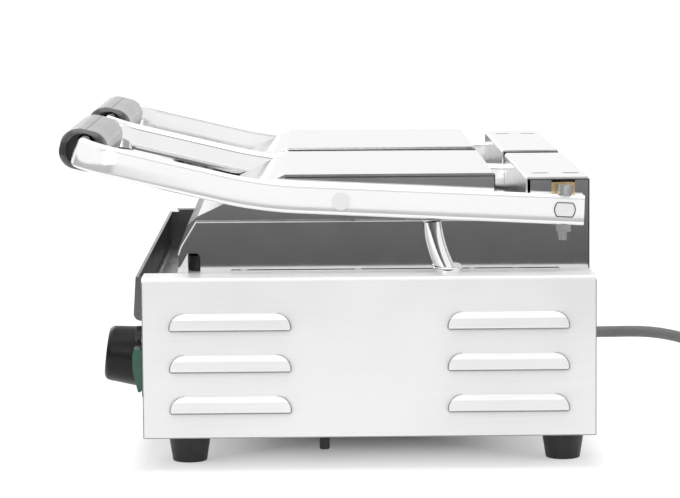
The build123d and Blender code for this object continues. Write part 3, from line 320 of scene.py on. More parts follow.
def seen_directly(tree):
    """1 for camera, glossy and transmission rays, and 0 for the rays that light the object."""
    path = tree.nodes.new("ShaderNodeLightPath").outputs
    first = worked(tree, "MAXIMUM", path["Is Camera Ray"], path["Is Glossy Ray"])
    return worked(tree, "MAXIMUM", first, path["Is Transmission Ray"])


air_light = added(air, "ShaderNodeBackground", {"Color": white, "Strength": 0.72}).outputs[0]
air_seen = added(air, "ShaderNodeBackground", {"Color": white, "Strength": 1.0}).outputs[0]
air_mix = added(air, "ShaderNodeMixShader", {0: seen_directly(air), 1: air_light, 2: air_seen})
added(air, "ShaderNodeOutputWorld", {"Surface": air_mix.outputs[0]})


def bare_paint(name):
    """A material whose tree is still empty."""
    paint = bpy.data.materials.new(name)
    paint.use_nodes = True
    paint.node_tree.nodes.clear()
    return paint, paint.node_tree


# The floor is matt near the grill, to take its shadow, and glows white further out. How far a point
# is past the edge of the grill's outline, or inside it, sets its share of glow.
floor_shape = bmesh.new()
bmesh.ops.create_grid(floor_shape, x_segments=1, y_segments=1, size=9)
floor_paint, ground = bare_paint("floor_paint")
floor_centre = (0, 0.031, 0)
outline_half = (0.285, 0.157, 1)
vectors = "ShaderNodeVectorMath"
ground_place = ground.nodes.new("ShaderNodeTexCoord").outputs["Object"]
ground_fold = worked(ground, "SUBTRACT", ground_place, floor_centre, kind=vectors)
ground_fold = worked(ground, "ABSOLUTE", ground_fold, kind=vectors)
ground_edge = worked(ground, "SUBTRACT", ground_fold, outline_half, kind=vectors)
ground_past = worked(ground, "MAXIMUM", ground_edge, (0, 0, 0), kind=vectors)
ground_reach = worked(ground, "LENGTH", ground_past, kind=vectors, part=1)
ground_split = added(ground, "ShaderNodeSeparateXYZ", {0: ground_edge}).outputs
ground_nearer = worked(ground, "MAXIMUM", ground_split["X"], ground_split["Y"])
ground_signed = worked(ground, "ADD", ground_reach, worked(ground, "MINIMUM", ground_nearer, 0))
ground_span = spread(ground, ground_signed, 0, 1, -0.14, 0.03)
ground_ramp = added(ground, "ShaderNodeValToRGB", {"Fac": ground_span})
glow_shares = ((0.06, 0.0), (0.29, 0.08), (0.5, 0.27), (0.72, 0.42), (0.82, 0.47), (0.93, 0.95))
for place, share in glow_shares:
    stop = ground_ramp.color_ramp.elements.new(place)
    stop.color = (share, share, share, 1)
ground_ramp.color_ramp.elements[0].color = (0, 0, 0, 1)
ground_ramp.color_ramp.elements[-1].color = (0.96, 0.96, 0.96, 1)
ground_share = worked(ground, "MULTIPLY", seen_directly(ground), ground_ramp.outputs["Color"])
ground_matt = added(ground, "ShaderNodeBsdfDiffuse", {"Color": (*grey(0.86), 1)}).outputs[0]
ground_glow = added(ground, "ShaderNodeEmission", {"Color": white, "Strength": 1.12}).outputs[0]
ground_parts = {0: ground_share, 1: ground_matt, 2: ground_glow}
ground_mix = added(ground, "ShaderNodeMixShader", ground_parts)
added(ground, "ShaderNodeOutputMaterial", {"Surface": ground_mix.outputs[0]})
floor = finished("floor", floor_shape, floor_paint)


def soft_box(name, place, aim, width, length, power):
    """A rectangular area light that faces its aim."""
    lamp_data = bpy.data.lights.new(name, "AREA")
    lamp_data.shape = "RECTANGLE"
    lamp_data.size = width
    lamp_data.size_y = length
    lamp_data.energy = power
    lamp = linked(name, lamp_data)
    lamp.location = place
    lamp.rotation_mode = "QUATERNION"
    lamp.rotation_quaternion = (Vector(aim) - Vector(place)).to_track_quat("-Z", "Y")


soft_box("box_above", (0.1, 0, 2.1), (0, 0, 0.1), 2.0, 2.0, 16)
soft_box("box_right", (2.2, -0.9, 1.3), (0, 0, 0.1), 1.2, 1.2, 9)
soft_box("box_left", (-2.2, -0.9, 1.3), (0, 0, 0.1), 1.2, 1.2, 7)
soft_box("box_rear", (-0.4, 2.3, 1.3), (0, 0, 0.1), 1.2, 1.2, 6)


def hung_card(name, turn_from, turn_to, steps, profile, bright, axis, start, end):
    """A curved card round the grill, as (reach, height) pairs, that brightens along one axis."""
    shape = bmesh.new()
    posts = []
    for step in range(steps + 1):
        angle = radians(turn_from + (turn_to - turn_from) * step / steps)
        spots = [(reach * cos(angle), reach * sin(angle), high) for reach, high in profile]
        posts.append([shape.verts.new(spot) for spot in spots])
    for first, second in zip(posts, posts[1:]):
        for low in range(len(profile) - 1):
            shape.faces.new((first[low], second[low], second[low + 1], first[low + 1]))
    bmesh.ops.remove_doubles(shape, verts=shape.verts, dist=0.0001)
    paint, tree = bare_paint(name + "_paint")
    place = tree.nodes.new("ShaderNodeTexCoord")
    split = added(tree, "ShaderNodeSeparateXYZ", {0: place.outputs["Object"]})
    strength = spread(tree, split.outputs[axis], *bright, start, end)
    glow = added(tree, "ShaderNodeEmission", {"Strength": strength})
    added(tree, "ShaderNodeOutputMaterial", {"Surface": glow.outputs[0]})
    return finished(name, shape, paint)


screen_profile = [(0.95, 0.003), (1.30, 0.003), (1.35, 0.010), (1.35, 0.150)]
grey_profile = [(1.6, 0.15), (1.6, 0.5)]
high_profile = [(2.2, 1.2), (2.2, 2.6)]
screens = [
    hung_card("dark_screen", 0, 360, 48, screen_profile, (0.10, 0.24), "Z", 0.0, 0.15),
    hung_card("grey_card", -4, -125, 24, grey_profile, (0.10, 1.0), "Y", -0.50, -0.10),
    hung_card("high_card", -60, 60, 24, high_profile, (1.0, 0.5), "X", 1.1, 1.9),
]
for screen in screens:
    screen.visible_camera = False
    screen.visible_diffuse = False
    screen.visible_transmission = False
    screen.visible_volume_scatter = False
    screen.visible_shadow = False


def finish_nodes(material, *names):
    """Gives that material to the CAD nodes of those names, or to the right and left one of a pair."""
    for name in names:
        for node in [name] if name in cad else [name + "_right", name + "_left"]:
            for slot in cad[node].material_slots:
                slot.material = material


# Base casing: both sides and the deck folded from one sheet of 1.2 mm stainless, satin brushed
# along its length. The louvres are lanced and pressed out of the sides. Thin dark beads along each
# louvre's mouth and rounded ends, and along each side's front, bottom and rear edges, are painted
# shade where those edges and slits fall into shadow.
satin_steel, tree, shader, place = new_material("satin_steel", grey(0.95), 0.38, 0.42)
satin_lines = spread(tree, speckle(tree, place, 0.0010, (1, 0.02, 1)), 0, 1)
satin_cloud = spread(tree, speckle(tree, place, 0.16, detail=2.0), 0, 1, 0.35, 0.65)
satin_fine = blend_colours(tree, satin_lines, grey(0.935), grey(0.965))
satin_soft = blend_colours(tree, satin_cloud, grey(0.93), (1, 1, 1))
satin_mix = tree.nodes.new("ShaderNodeMix")
satin_mix.data_type = "RGBA"
satin_mix.blend_type = "MULTIPLY"
satin_mix.inputs["Factor"].default_value = 1
tree.links.new(satin_fine, satin_mix.inputs["A"])
tree.links.new(satin_soft, satin_mix.inputs["B"])
satin_wear = spread(tree, speckle(tree, place, 0.03), 0.33, 0.43)
shaded(tree, shader, satin_mix.outputs["Result"], satin_wear)
dent(tree, shader, speckle(tree, place, 0.0010, (1, 0.02, 1), 2.0), 0.5, 0.000002)
finish_nodes(satin_steel, "base_casing", "rear_panel", "bottom_plate")
# Painted shade: the dark grey steel of the beads that stand in for the shade along the louvres and the
# sides' edges.
painted_shade_steel = metal("painted_shade_steel", (0.34, 0.34, 0.35), (0.24, 0.24, 0.25), 0.4, 0.002, metallic=0.5)


def size_tree(name, sizes):
    """A geometry tree with a named input for each of the piece's sizes."""
    tree = bpy.data.node_groups.new(name, "GeometryNodeTree")
    tree.interface.new_socket("Geometry", in_out="INPUT", socket_type="NodeSocketGeometry")
    tree.interface.new_socket("Geometry", in_out="OUTPUT", socket_type="NodeSocketGeometry")
    for label in sizes:
        tree.interface.new_socket(label, in_out="INPUT", socket_type="NodeSocketFloat")
    tree.interface.new_socket("Seed", in_out="INPUT", socket_type="NodeSocketInt")
    tree.interface.new_socket("Finish", in_out="INPUT", socket_type="NodeSocketMaterial")
    return tree, tree.nodes.new("NodeGroupInput"), tree.nodes.new("NodeGroupOutput")


def combined(tree, *parts):
    """A vector from three numbers, each a socket or a plain value."""
    return added(tree, "ShaderNodeCombineXYZ", dict(enumerate(parts))).outputs[0]


def close_tree(tree, given, out, geometry):
    """Ends the tree in a realised mesh with its finish."""
    real = added(tree, "GeometryNodeRealizeInstances", {0: geometry})
    coat_parts = {"Geometry": real.outputs[0], "Material": given.outputs["Finish"]}
    coat = added(tree, "GeometryNodeSetMaterial", coat_parts)
    tree.links.new(coat.outputs[0], out.inputs[0])


def plain_mesh(holder):
    """The mesh that an object shows, with the object taken away."""
    seen = holder.evaluated_get(bpy.context.evaluated_depsgraph_get())
    mesh = bpy.data.meshes.new_from_object(seen)
    bpy.data.objects.remove(holder)
    return mesh


def grown(name, tree, host, finish, sizes, sharp=35):
    """The plain mesh that a tree makes on a host mesh, with those sizes."""
    holder = linked(name + "_places", host)
    modifier = holder.modifiers.new(name, "NODES")
    modifier.node_group = tree
    values = {**sizes, "Seed": 7, "Finish": finish}
    for item in tree.interface.items_tree:
        if item.in_out == "INPUT" and item.name in values:
            modifier[item.identifier] = values[item.name]
    mesh = plain_mesh(holder)
    mesh.materials.clear()
    return smoothed(name, mesh, finish, sharp)


edge_bead, given, out = size_tree("edge_bead", ["Bead radius"])
edge_curve = added(edge_bead, "GeometryNodeMeshToCurve", {0: given.outputs["Geometry"]})
edge_radius = {"Resolution": 10, "Radius": given.outputs["Bead radius"]}
edge_round = added(edge_bead, "GeometryNodeCurvePrimitiveCircle", edge_radius)
edge_width = added(edge_bead, "GeometryNodeInputNamedAttribute", {"Name": "width"})
edge_width.data_type = "FLOAT"
edge_parts = {"Curve": edge_curve.outputs[0], "Profile Curve": edge_round.outputs[0]}
edge_parts |= {"Scale": edge_width.outputs["Attribute"], "Fill Caps": True}
edge_tube = added(edge_bead, "GeometryNodeCurveToMesh", edge_parts)
close_tree(edge_bead, given, out, edge_tube.outputs[0])


def beads(name, paths, finish, radius):
    """Round beads along open paths, whose points are given as their place and the bead's width there."""
    host = bpy.data.meshes.new(name + "_paths")
    points = [point for path in paths for point in path]
    runs = []
    first = 0
    for path in paths:
        runs += [(first + step, first + step + 1) for step in range(len(path) - 1)]
        first += len(path)
    host.from_pydata([point[0] for point in points], runs, [])
    widths = host.attributes.new("width", "FLOAT", "POINT")
    widths.data.foreach_set("value", [point[1] for point in points])
    return grown(name, edge_bead, host, finish, {"Bead radius": radius}, 60)


halves = {"right": 1, "left": -1}
casing_low, casing_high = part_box("base_casing")
casing_bead = 0.00042
front_y = -0.12625
half_width = 0.285
louvre_ys = (front_y + 0.0608, front_y + 0.2532)
louvre_zs = (0.0395, 0.0683, 0.0971)
louvre_depth = 0.0036
lip_depth = 0.0032
lip_half = 0.0413
end_start, end_length = 0.032, 0.0096  # a louvre's rounded end, from its middle
end_foot, end_rise = 0.0022, 0.0094  # that end's height above the mouth
flare_foot, flare_rise, flare_depth = 0.0077, 0.0040, 0.0030  # its top's slope back to the wall
inset = 0.0003
edge_paths = []
for side in (1, -1):
    x = side * (half_width - inset)
    front, rear = casing_low[1] + inset, casing_high[1] - inset
    low, high = casing_low[2] + inset, casing_high[2] - 0.003
    rim = [(x, front, high), (x, front, low), (x, rear, low), (x, rear, high)]
    edge_paths += [[(start, 1), (end, 1)] for start, end in zip(rim, rim[1:])]
    for louvre_y in louvre_ys:
        for louvre_z in louvre_zs:
            lip = side * (half_width + lip_depth)
            edge_paths.append([((lip, louvre_y + end * lip_half, louvre_z), 0.8) for end in (-1, 1)])
            for end in (1, -1):
                crease = []
                for step in range(9):
                    angle = radians(90 * step / 8)
                    y = louvre_y + end * (end_start + end_length * cos(angle))
                    up = end_foot + end_rise * sin(angle)
                    width = 2.0 - 1.4 * step / 8
                    pressed = louvre_depth - flare_depth * max(0, up - flare_foot) / flare_rise
                    x = side * (half_width + pressed - casing_bead * width)
                    crease.append(((x, y, louvre_z + up), width))
                crease_end = (crease[0][0][0], louvre_y + end * 0.0416, louvre_z + 0.0004)
                crease.insert(0, (crease_end, 1.8))
                edge_paths.append(crease)
# Painted shade: dark beads along the sides' front, bottom and rear edges and along each louvre's mouth and
# ends.
casing_shade_lines = beads("casing_shade_lines", edge_paths, painted_shade_steel, casing_bead)
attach(casing_shade_lines, "base")

# Front panel: a separate sheet of the same stainless, folded at its edges and brushed from side to
# side. It is set just behind the casing's edge, and four screws hold it.
front_steel = metal("front_steel", grey(0.90), grey(0.86), 0.34, 0.0010, (0.02, 1, 1), 0.000003, 0.55)
finish_nodes(front_steel, "front_panel")

# Sheet-metal screws: zinc-plated pan heads with a cross recess. They hold the bottom plate, the
# rear panel and the front panel, and each has stopped at its own angle.
zinc = metal("zinc", (0.80, 0.81, 0.82), (0.68, 0.69, 0.71), 0.3, 0.003, metallic=0.85)
screw_tree, given, out = size_tree("screw_heads", ["Head diameter", "Head height", "Recess width"])
high, wide = given.outputs["Head height"], given.outputs["Recess width"]
to_top = combined(screw_tree, 0, 0, high)
stem = added(screw_tree, "GeometryNodeCurvePrimitiveLine", {"End": to_top})
stem_points = added(screw_tree, "GeometryNodeResampleCurve", {"Count": 8, "Curve": stem.outputs[0]})
rim_radius = worked(screw_tree, "MULTIPLY", given.outputs["Head diameter"], 0.5)
rim = added(screw_tree, "GeometryNodeCurvePrimitiveCircle", {"Resolution": 24, "Radius": rim_radius})
along_stem = screw_tree.nodes.new("GeometryNodeSplineParameter")
dome = added(screw_tree, "ShaderNodeFloatCurve", {"Value": along_stem.outputs["Factor"]})
dome_line = dome.mapping.curves[0]
dome_line.points[0].location = (0, 1)
dome_line.points[1].location = (1, 0.45)
for point in ((0.35, 1), (0.7, 0.9), (0.9, 0.68)):
    dome_line.points.new(*point)
dome.mapping.update()
head_parts = {"Curve": stem_points.outputs[0], "Profile Curve": rim.outputs[0]}
head_parts |= {"Scale": dome.outputs[0], "Fill Caps": True}
head = added(screw_tree, "GeometryNodeCurveToMesh", head_parts)
cross = added(screw_tree, "GeometryNodeMeshBoolean", {"Mesh 1": head.outputs[0]})
narrow = worked(screw_tree, "MULTIPLY", wide, 0.24)
for across in ((wide, narrow), (narrow, wide)):
    blade = added(screw_tree, "GeometryNodeMeshCube", {"Size": combined(screw_tree, *across, high)})
    raised_parts = {"Geometry": blade.outputs[0], "Translation": to_top}
    raised = added(screw_tree, "GeometryNodeTransform", raised_parts)
    screw_tree.links.new(raised.outputs[0], cross.inputs["Mesh 2"])
facing = added(screw_tree, "GeometryNodeInputNamedAttribute", {"Name": "facing"})
facing.data_type = "FLOAT_VECTOR"
facing_way = {"Vector": facing.outputs["Attribute"]}
upright = added(screw_tree, "FunctionNodeAlignRotationToVector", facing_way)
upright.axis = "Z"
most_turn = {3: 1.5, "Seed": given.outputs["Seed"]}  # input 3 is the largest number drawn
chance = added(screw_tree, "FunctionNodeRandomValue", most_turn)
turn = added(screw_tree, "FunctionNodeAxisAngleToRotation", {"Angle": chance.outputs[1]})
stopped_parts = {"Rotation": upright.outputs[0], "Rotate By": turn.outputs[0]}
stopped = added(screw_tree, "FunctionNodeRotateRotation", stopped_parts)
stopped.rotation_space = "LOCAL"
driven_parts = {"Points": given.outputs["Geometry"], "Instance": cross.outputs[0]}
driven_parts["Rotation"] = stopped.outputs[0]
driven = added(screw_tree, "GeometryNodeInstanceOnPoints", driven_parts)
close_tree(screw_tree, given, out, driven.outputs[0])


def screws_at(name, places, facing, finish, sizes):
    """Screw heads at those places, all facing one way, each stopped at its own angle."""
    host = bpy.data.meshes.new(name + "_places")
    host.from_pydata([tuple(place) for place in places], [], [])
    way = host.attributes.new("facing", "FLOAT_VECTOR", "POINT")
    way.data.foreach_set("vector", [part for _ in places for part in facing])
    return grown(name, screw_tree, host, finish, sizes)


pan_head = {"Head diameter": 0.0078, "Head height": 0.0021, "Recess width": 0.0042}
plate_low, plate_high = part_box("bottom_plate")
below_places = [
    (x, y, plate_low[2] + 0.0001)
    for x in (plate_low[0] + 0.016, plate_high[0] - 0.016)
    for y in (plate_low[1] + 0.020, plate_low[1] + 0.110, plate_low[1] + 0.200, plate_high[1] - 0.020)
]
below_screws = screws_at("below_screws", below_places, (0, 0, -1), zinc, pan_head)
rear_low, rear_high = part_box("rear_panel")
rear_places = [
    (x, rear_high[1] - 0.0001, z)
    for x in (rear_low[0] + 0.014, -0.090, 0.090, rear_high[0] - 0.014)
    for z in (rear_low[2] + 0.012, rear_high[2] - 0.014)
]
rear_screws = screws_at("rear_screws", rear_places, (0, 1, 0), zinc, pan_head)
panel_low, panel_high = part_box("front_panel")
front_places = [
    (side * (panel_high[0] - 0.012), panel_low[1] + 0.0001, z)
    for side in (1, -1)
    for z in (panel_low[2] + 0.011, panel_low[2] + 0.066)
]
front_screws = screws_at("front_screws", front_places, (0, -1, 0), zinc, pan_head)
for screws in (below_screws, rear_screws, front_screws):
    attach(screws, "base")

# Feet and pegs: moulded black rubber cones under the bottom plate, each held by a plated screw up
# its middle. The pegs are short rubber plugs pressed into the plate.
foot_rubber = moulded("foot_rubber", grey(0.022), grey(0.012), 0.5, 0.0006, 0.00008)
finish_nodes(foot_rubber, "feet", "locating_pegs")
finish_nodes(zinc, "foot_screws")

# Drip tray and its housing: a drawer of folded stainless with an open trough and a full-width front,
# in a folded housing behind the front panel. It is polished, and its colour is made dark all over as
# painted shade for the recess under the plate in which it sits.
# Painted shade: the tray's polished steel is given a dark colour in place of the shade of its recess.
tray_painted_shade_steel = metal("tray_painted_shade_steel", grey(0.24), grey(0.19), 0.32, 0.002, (0.03, 1, 1), 0.000003)
finish_nodes(tray_painted_shade_steel, "drip_tray", "tray_housing")

# Lower plate: one ribbed grey iron casting, seasoned dark, with oil that shines in patches. The two
# upper plates are smaller castings of the same iron, screwed into the heads.
seasoned_iron, tree, shader, place = new_material("seasoned_iron", grey(0.03), 0.45)
iron_patches = spread(tree, speckle(tree, place, 0.05), 0, 1)
iron_colour = blend_colours(tree, iron_patches, (0.022, 0.021, 0.020), (0.055, 0.052, 0.050))
iron_oil = spread(tree, speckle(tree, place, 0.03), 0.28, 0.6)
shaded(tree, shader, iron_colour, iron_oil)
shader.inputs["Metallic"].default_value = 0.4
dent(tree, shader, speckle(tree, place, 0.0012), 0.5, 0.0003)
finish_nodes(seasoned_iron, "lower_plate", "upper_plate")

# Heating elements: bent steel tubes, blued by heat. Plated bars and studs clamp them under the
# plates, with pads of mineral wool behind them.
element_steel = metal("element_steel", (0.30, 0.27, 0.24), (0.17, 0.15, 0.14), 0.42, 0.02)
finish_nodes(element_steel, "lower_elements", "upper_element")
finish_nodes(zinc, "element_clamps", "clamp_studs")
wool = moulded("wool", (0.74, 0.68, 0.52), (0.62, 0.56, 0.42), 0.9, 0.0015, 0.0008)
finish_nodes(wool, "lower_insulation", "upper_insulation")

# Conduits: chromed steel tubes that carry the upper elements' wires from the arms into the base.
# Each slides through a chromed collar in the deck as its head opens.
chrome = metal("chrome", (0.90, 0.90, 0.91), (0.86, 0.86, 0.87), 0.06, 0.03, change=0.02)
finish_nodes(chrome, "conduit", "conduit_collars")

# Splash guard and hinge plates: mirror-polished stainless, bent round the plate's back and sides and
# screwed to the deck. A light bead along its rim is a painted highlight, and a small plate stands at
# each front foot in the same light steel, its colour a painted reflection.
mirror_steel = metal("mirror_steel", grey(0.80), grey(0.76), 0.09, 0.04, change=0.02)
finish_nodes(mirror_steel, "splash_guard", "hinge_plates")
finish_nodes(zinc, "guard_screws")
# Painted highlight: a light, half-matt steel for the bead along the guard's rim and for the foot plates.
painted_highlight_steel = metal("painted_highlight_steel", grey(0.92), grey(0.86), 0.3, 0.004, metallic=0.3)
guard_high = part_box("splash_guard")[1]
deck_z = 0.1335
guard_wall = 0.0351  # the guard's height above the deck
half_sheet = 0.0006
wall_x = guard_high[0] - half_sheet
edge_line = [
    (front_y + 0.0244, deck_z + 0.0123),
    (front_y + 0.0263, deck_z + 0.0180),
    (front_y + 0.0367, deck_z + guard_wall),
    (front_y + 0.2708, deck_z + guard_wall),
]
guard_paths = [[((side * wall_x, y, z), 1) for y, z in edge_line] for side in (1, -1)]
rear_wall_y = guard_high[1] - half_sheet
guard_paths.append([((x, rear_wall_y, deck_z + guard_wall), 1) for x in (-0.0155, 0.0155)])
# Painted highlight: a light bead along the guard's front edge, its top and its rear, where the polished
# edge shines.
guard_rim_highlight = beads("guard_rim_highlight", guard_paths, painted_highlight_steel, 0.00066)
foot_shape = bmesh.new()
for side in (1, -1):
    flat = [
        foot_shape.verts.new((side * (wall_x + 0.0008), front_y + y, deck_z + z))
        for y, z in ((0.0232, 0.0001), (0.0308, 0.0001), (0.0308, 0.0138))
    ]
    face = foot_shape.faces.new(flat)
    grown_face = bmesh.ops.extrude_face_region(foot_shape, geom=[face])
    for part in grown_face["geom"]:
        if isinstance(part, bmesh.types.BMVert):
            part.co.x += side * 2 * half_sheet
# The foot plates' light colour is a painted reflection.
guard_feet = finished("guard_feet", foot_shape, painted_highlight_steel)
for piece in (guard_feet, guard_rim_highlight):
    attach(piece, "base")

# Hinge covers: folded stainless caps on the towers' tops, in a softer polish, with slots at their
# outer ends. Thin dark beads just under the covers' top edges and up the towers' rear corners are
# painted shade for the shadow gaps at the seams.
cover_steel = metal("cover_steel", grey(0.87), grey(0.84), 0.22, 0.02, metallic=0.8, change=0.01)
finish_nodes(cover_steel, "hinge_cover")
cover_low, cover_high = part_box("hinge_cover_right")
# Painted shade: a near-black steel for the beads that stand in for the shade lines at the covers' and
# hoods' seams and folds.
painted_shade_dark = metal("painted_shade_dark", grey(0.06), grey(0.04), 0.45, 0.003, metallic=0.3)
shade_line_drop = 0.0017  # how far the painted shade line lies under the cover's top
cover_paths = []
for side in (1, -1):
    under = cover_high[2] - shade_line_drop
    for x in (cover_low[0] + 0.0001, cover_high[0] - 0.0001):
        ends = (cover_low[1] + 0.002, cover_high[1])
        cover_paths.append([((side * x, y, under), 1) for y in ends])
    rear_corner = (side * (guard_high[0] - 0.0002), guard_high[1] - 0.0002)
    cover_paths.append([((*rear_corner, deck_z + 0.001), 1), ((*rear_corner, under), 1)])
# Painted shade: dark beads under the covers' top edges and up the towers' rear corners.
cover_shade_lines = beads("cover_shade_lines", cover_paths, painted_shade_dark, 0.0005)
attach(cover_shade_lines, "base")

# Bearing blocks and springs: machined brass blocks bolted inside the towers, in which the hinge
# shafts turn. Oiled spring wire coiled round the shafts balances the heads.
brass = metal("brass", (0.78, 0.60, 0.34), (0.66, 0.49, 0.26), 0.3, 0.003)
finish_nodes(brass, "bearing_blocks")
spring_wire = metal("spring_wire", (0.34, 0.34, 0.35), (0.22, 0.22, 0.23), 0.3, 0.004)
finish_nodes(spring_wire, "torsion_springs")

# Thermostats and dials: moulded black cases screwed behind the panel, and a black plate under each
# knob. The dial is printed round it: 25 marks in three quarters of a turn, and every fourth numbered.
black_case = moulded("black_case", grey(0.030), grey(0.020), 0.4, 0.0008, 0.00005)
finish_nodes(black_case, "thermostats", "dial_plates", "switch_frames")
print_white = moulded("print_white", (0.80, 0.80, 0.78), (0.74, 0.74, 0.72), 0.5, 0.0008, 0.00001)
print_black = moulded("print_black", (0.020, 0.020, 0.022), (0.014, 0.014, 0.016), 0.5, 0.0008, 0.00001)
print_lift = 0.00008  # how far a print stands off its surface


def printed(flat, node, body):
    """A printed mark: its flat mesh, seen from the front, is laid on the CAD piece's surface."""
    under = cad[node].data
    corners = [point.co for point in under.vertices]
    surface = BVHTree.FromPolygons(corners, [face.vertices for face in under.polygons])
    for point in flat.data.vertices:
        hit = surface.ray_cast(Vector((point.co.x, -1, point.co.z)), Vector((0, 1, 0)))[0]
        point.co.y = hit.y - print_lift
    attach(flat, body)


dial_tree, given, out = size_tree("dial_marks", ["Radius", "Sweep", "Mark length", "Mark width"])
half_sweep = worked(dial_tree, "MULTIPLY", given.outputs["Sweep"], -0.5)
arc_parts = {"Resolution": 97, "Radius": given.outputs["Radius"]}
arc_parts["Sweep Angle"] = given.outputs["Sweep"]
arc_parts["Start Angle"] = worked(dial_tree, "ADD", half_sweep, pi / 2)
arc = added(dial_tree, "GeometryNodeCurveArc", arc_parts)
arc_points = added(dial_tree, "GeometryNodeResampleCurve", {"Count": 25, "Curve": arc.outputs[0]})
place_now = dial_tree.nodes.new("GeometryNodeInputPosition")
outward = added(dial_tree, "FunctionNodeAlignRotationToVector", {"Vector": place_now.outputs[0]})
outward.axis = "X"
bar_parts = {"Vertices X": 2, "Vertices Y": 2}
bar_parts |= {"Size X": given.outputs["Mark length"], "Size Y": given.outputs["Mark width"]}
bar = added(dial_tree, "GeometryNodeMeshGrid", bar_parts)
marks_parts = {"Points": arc_points.outputs[0], "Instance": bar.outputs[0]}
marks_parts["Rotation"] = outward.outputs[0]
marks = added(dial_tree, "GeometryNodeInstanceOnPoints", marks_parts)
close_tree(dial_tree, given, out, marks.outputs[0])

control_x = 0.184
knob_z = 0.0648
ring_sizes = {"Radius": 0.0255, "Sweep": radians(270), "Mark length": 0.0022, "Mark width": 0.0005}
number_radius = 0.0300
front_from_flat = Matrix(((1, 0, 0, 0), (0, 0, -1, 0), (0, 1, 0, 0), (0, 0, 0, 1)))
for name, side in halves.items():
    dial_host = bpy.data.meshes.new("dial")
    dial_ring = grown(f"dial_marks_{name}", dial_tree, dial_host, print_black, ring_sizes)
    dial_ring.data.transform(Matrix.Translation((side * control_x, 0, knob_z)) @ front_from_flat)
    printed(dial_ring, "front_panel", "base")
    numbers = bmesh.new()
    for step in range(7):
        words = bpy.data.curves.new("number", "FONT")
        words.body = str(50 * step)
        words.size = 0.0043
        words.align_x = "CENTER"
        words.align_y = "CENTER"
        flat = plain_mesh(linked("number", words))
        angle = radians(225 - 45 * step)
        spot = (side * control_x + number_radius * cos(angle), 0, knob_z + number_radius * sin(angle))
        flat.transform(Matrix.Translation(spot) @ front_from_flat)
        numbers.from_mesh(flat)
    bmesh.ops.remove_doubles(numbers, verts=numbers.verts, dist=0.00001)
    printed(finished(f"dial_numbers_{name}", numbers, print_black), "front_panel", "base")

# Knobs: tapered, moulded in satin black, and pushed onto the thermostats' spindles. A white line
# near the rim of each points to the heat that is set.
knob_black = moulded("knob_black", grey(0.008), grey(0.005), 0.36, 0.0004, 0.00002)
knob_black.node_tree.nodes["Principled BSDF"].inputs["Specular IOR Level"].default_value = 0.3
finish_nodes(knob_black, "knob")
line_height = 0.0032 + 0.0120  # from the knob's centre to the line's middle
line_half = 0.0050
for name, side in halves.items():
    line_shape = bmesh.new()
    grid = bmesh.ops.create_grid(line_shape, x_segments=2, y_segments=12, size=1)
    for point in grid["verts"]:
        x = side * control_x + 0.0006 * point.co.x
        point.co = (x, 0, knob_z + line_height + line_half * point.co.y)
    printed(finished(f"knob_line_{name}", line_shape, print_white), f"knob_{name}", f"knob_{name}")

# Rockers and pilot lamps: clear green plastic rockers over a neon lamp, clipped in black frames,
# with a line for on and a ring for off. Each pilot lamp above is a small red lens in a black bezel.
green_lens = moulded("green_lens", (0.004, 0.120, 0.060), (0.002, 0.080, 0.038), 0.2, 0.0008, 0.00003, 0.6)
finish_nodes(green_lens, "rocker")
red_lens = moulded("red_lens", (0.520, 0.020, 0.012), (0.400, 0.012, 0.008), 0.15, 0.0008, 0.00003, 0.6)
finish_nodes(red_lens, "pilot_lamps")
rocker_x = 0.233
rocker_z = 0.0633
line_rise, ring_drop = 0.0085, 0.0080  # the signs' distances from the rocker's middle
for name, side in halves.items():
    sign_shape = bmesh.new()
    centre_x = side * rocker_x
    stroke = bmesh.ops.create_grid(sign_shape, x_segments=1, y_segments=8, size=1)
    for point in stroke["verts"]:
        point.co = (centre_x + 0.0004 * point.co.x, 0, rocker_z + line_rise + 0.0024 * point.co.y)
    loop = []
    for step in range(28):
        angle = 2 * pi * step / 28
        pair = []
        for reach in (0.0019, 0.0027):
            spot = (centre_x + reach * cos(angle), 0, rocker_z - ring_drop + reach * sin(angle))
            pair.append(sign_shape.verts.new(spot))
        loop.append(pair)
    for step in range(28):
        first, second = loop[step], loop[(step + 1) % 28]
        sign_shape.faces.new((first[0], first[1], second[1], second[0]))
    printed(finished(f"rocker_signs_{name}", sign_shape, print_white), f"rocker_{name}", f"rocker_{name}")

# Terminal block: a white moulded block screwed inside the base, where the cord's wires end. It has
# two rows of five brass screws.
terminal_white = moulded("terminal_white", (0.82, 0.81, 0.76), (0.74, 0.73, 0.68), 0.45, 0.001, 0.00005)
finish_nodes(terminal_white, "terminal_block")
block_low, block_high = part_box("terminal_block")
block_places = [
    (block_low[0] + (block_high[0] - block_low[0]) * (step + 0.5) / 5, y, block_high[2])
    for step in range(5)
    for y in (block_low[1] + 0.006, block_high[1] - 0.006)
]
small_head = {"Head diameter": 0.0052, "Head height": 0.0016, "Recess width": 0.0030}
terminal_screws = screws_at("terminal_screws", block_places, (0, 0, 1), brass, small_head)
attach(terminal_screws, "base")

# Handles: each is one oval-sided steel tube bent in a U and chromed, its outer faces slightly
# crowned. It is clamped to the hinge shaft by a bolt and nut at each arm's rear end. The outer arm's
# half of the tube has a whiter, half-matt copy of the chrome as a painted reflection, and the inner
# half has the plain chrome.
# Painted reflection: a whiter, half-matt copy of the chrome for the white that the outer arms' faces show.
painted_white_chrome = metal(
    "painted_white_chrome", (0.96, 0.96, 0.97), (0.94, 0.94, 0.95), 0.11, 0.03, metallic=0.5, change=0.02
)
arm_height = 0.021
arm_width = 0.012
arm_corner = 0.0044
low_corner = 0.0026
arm_widest = -0.0070
side_crown = 0.050


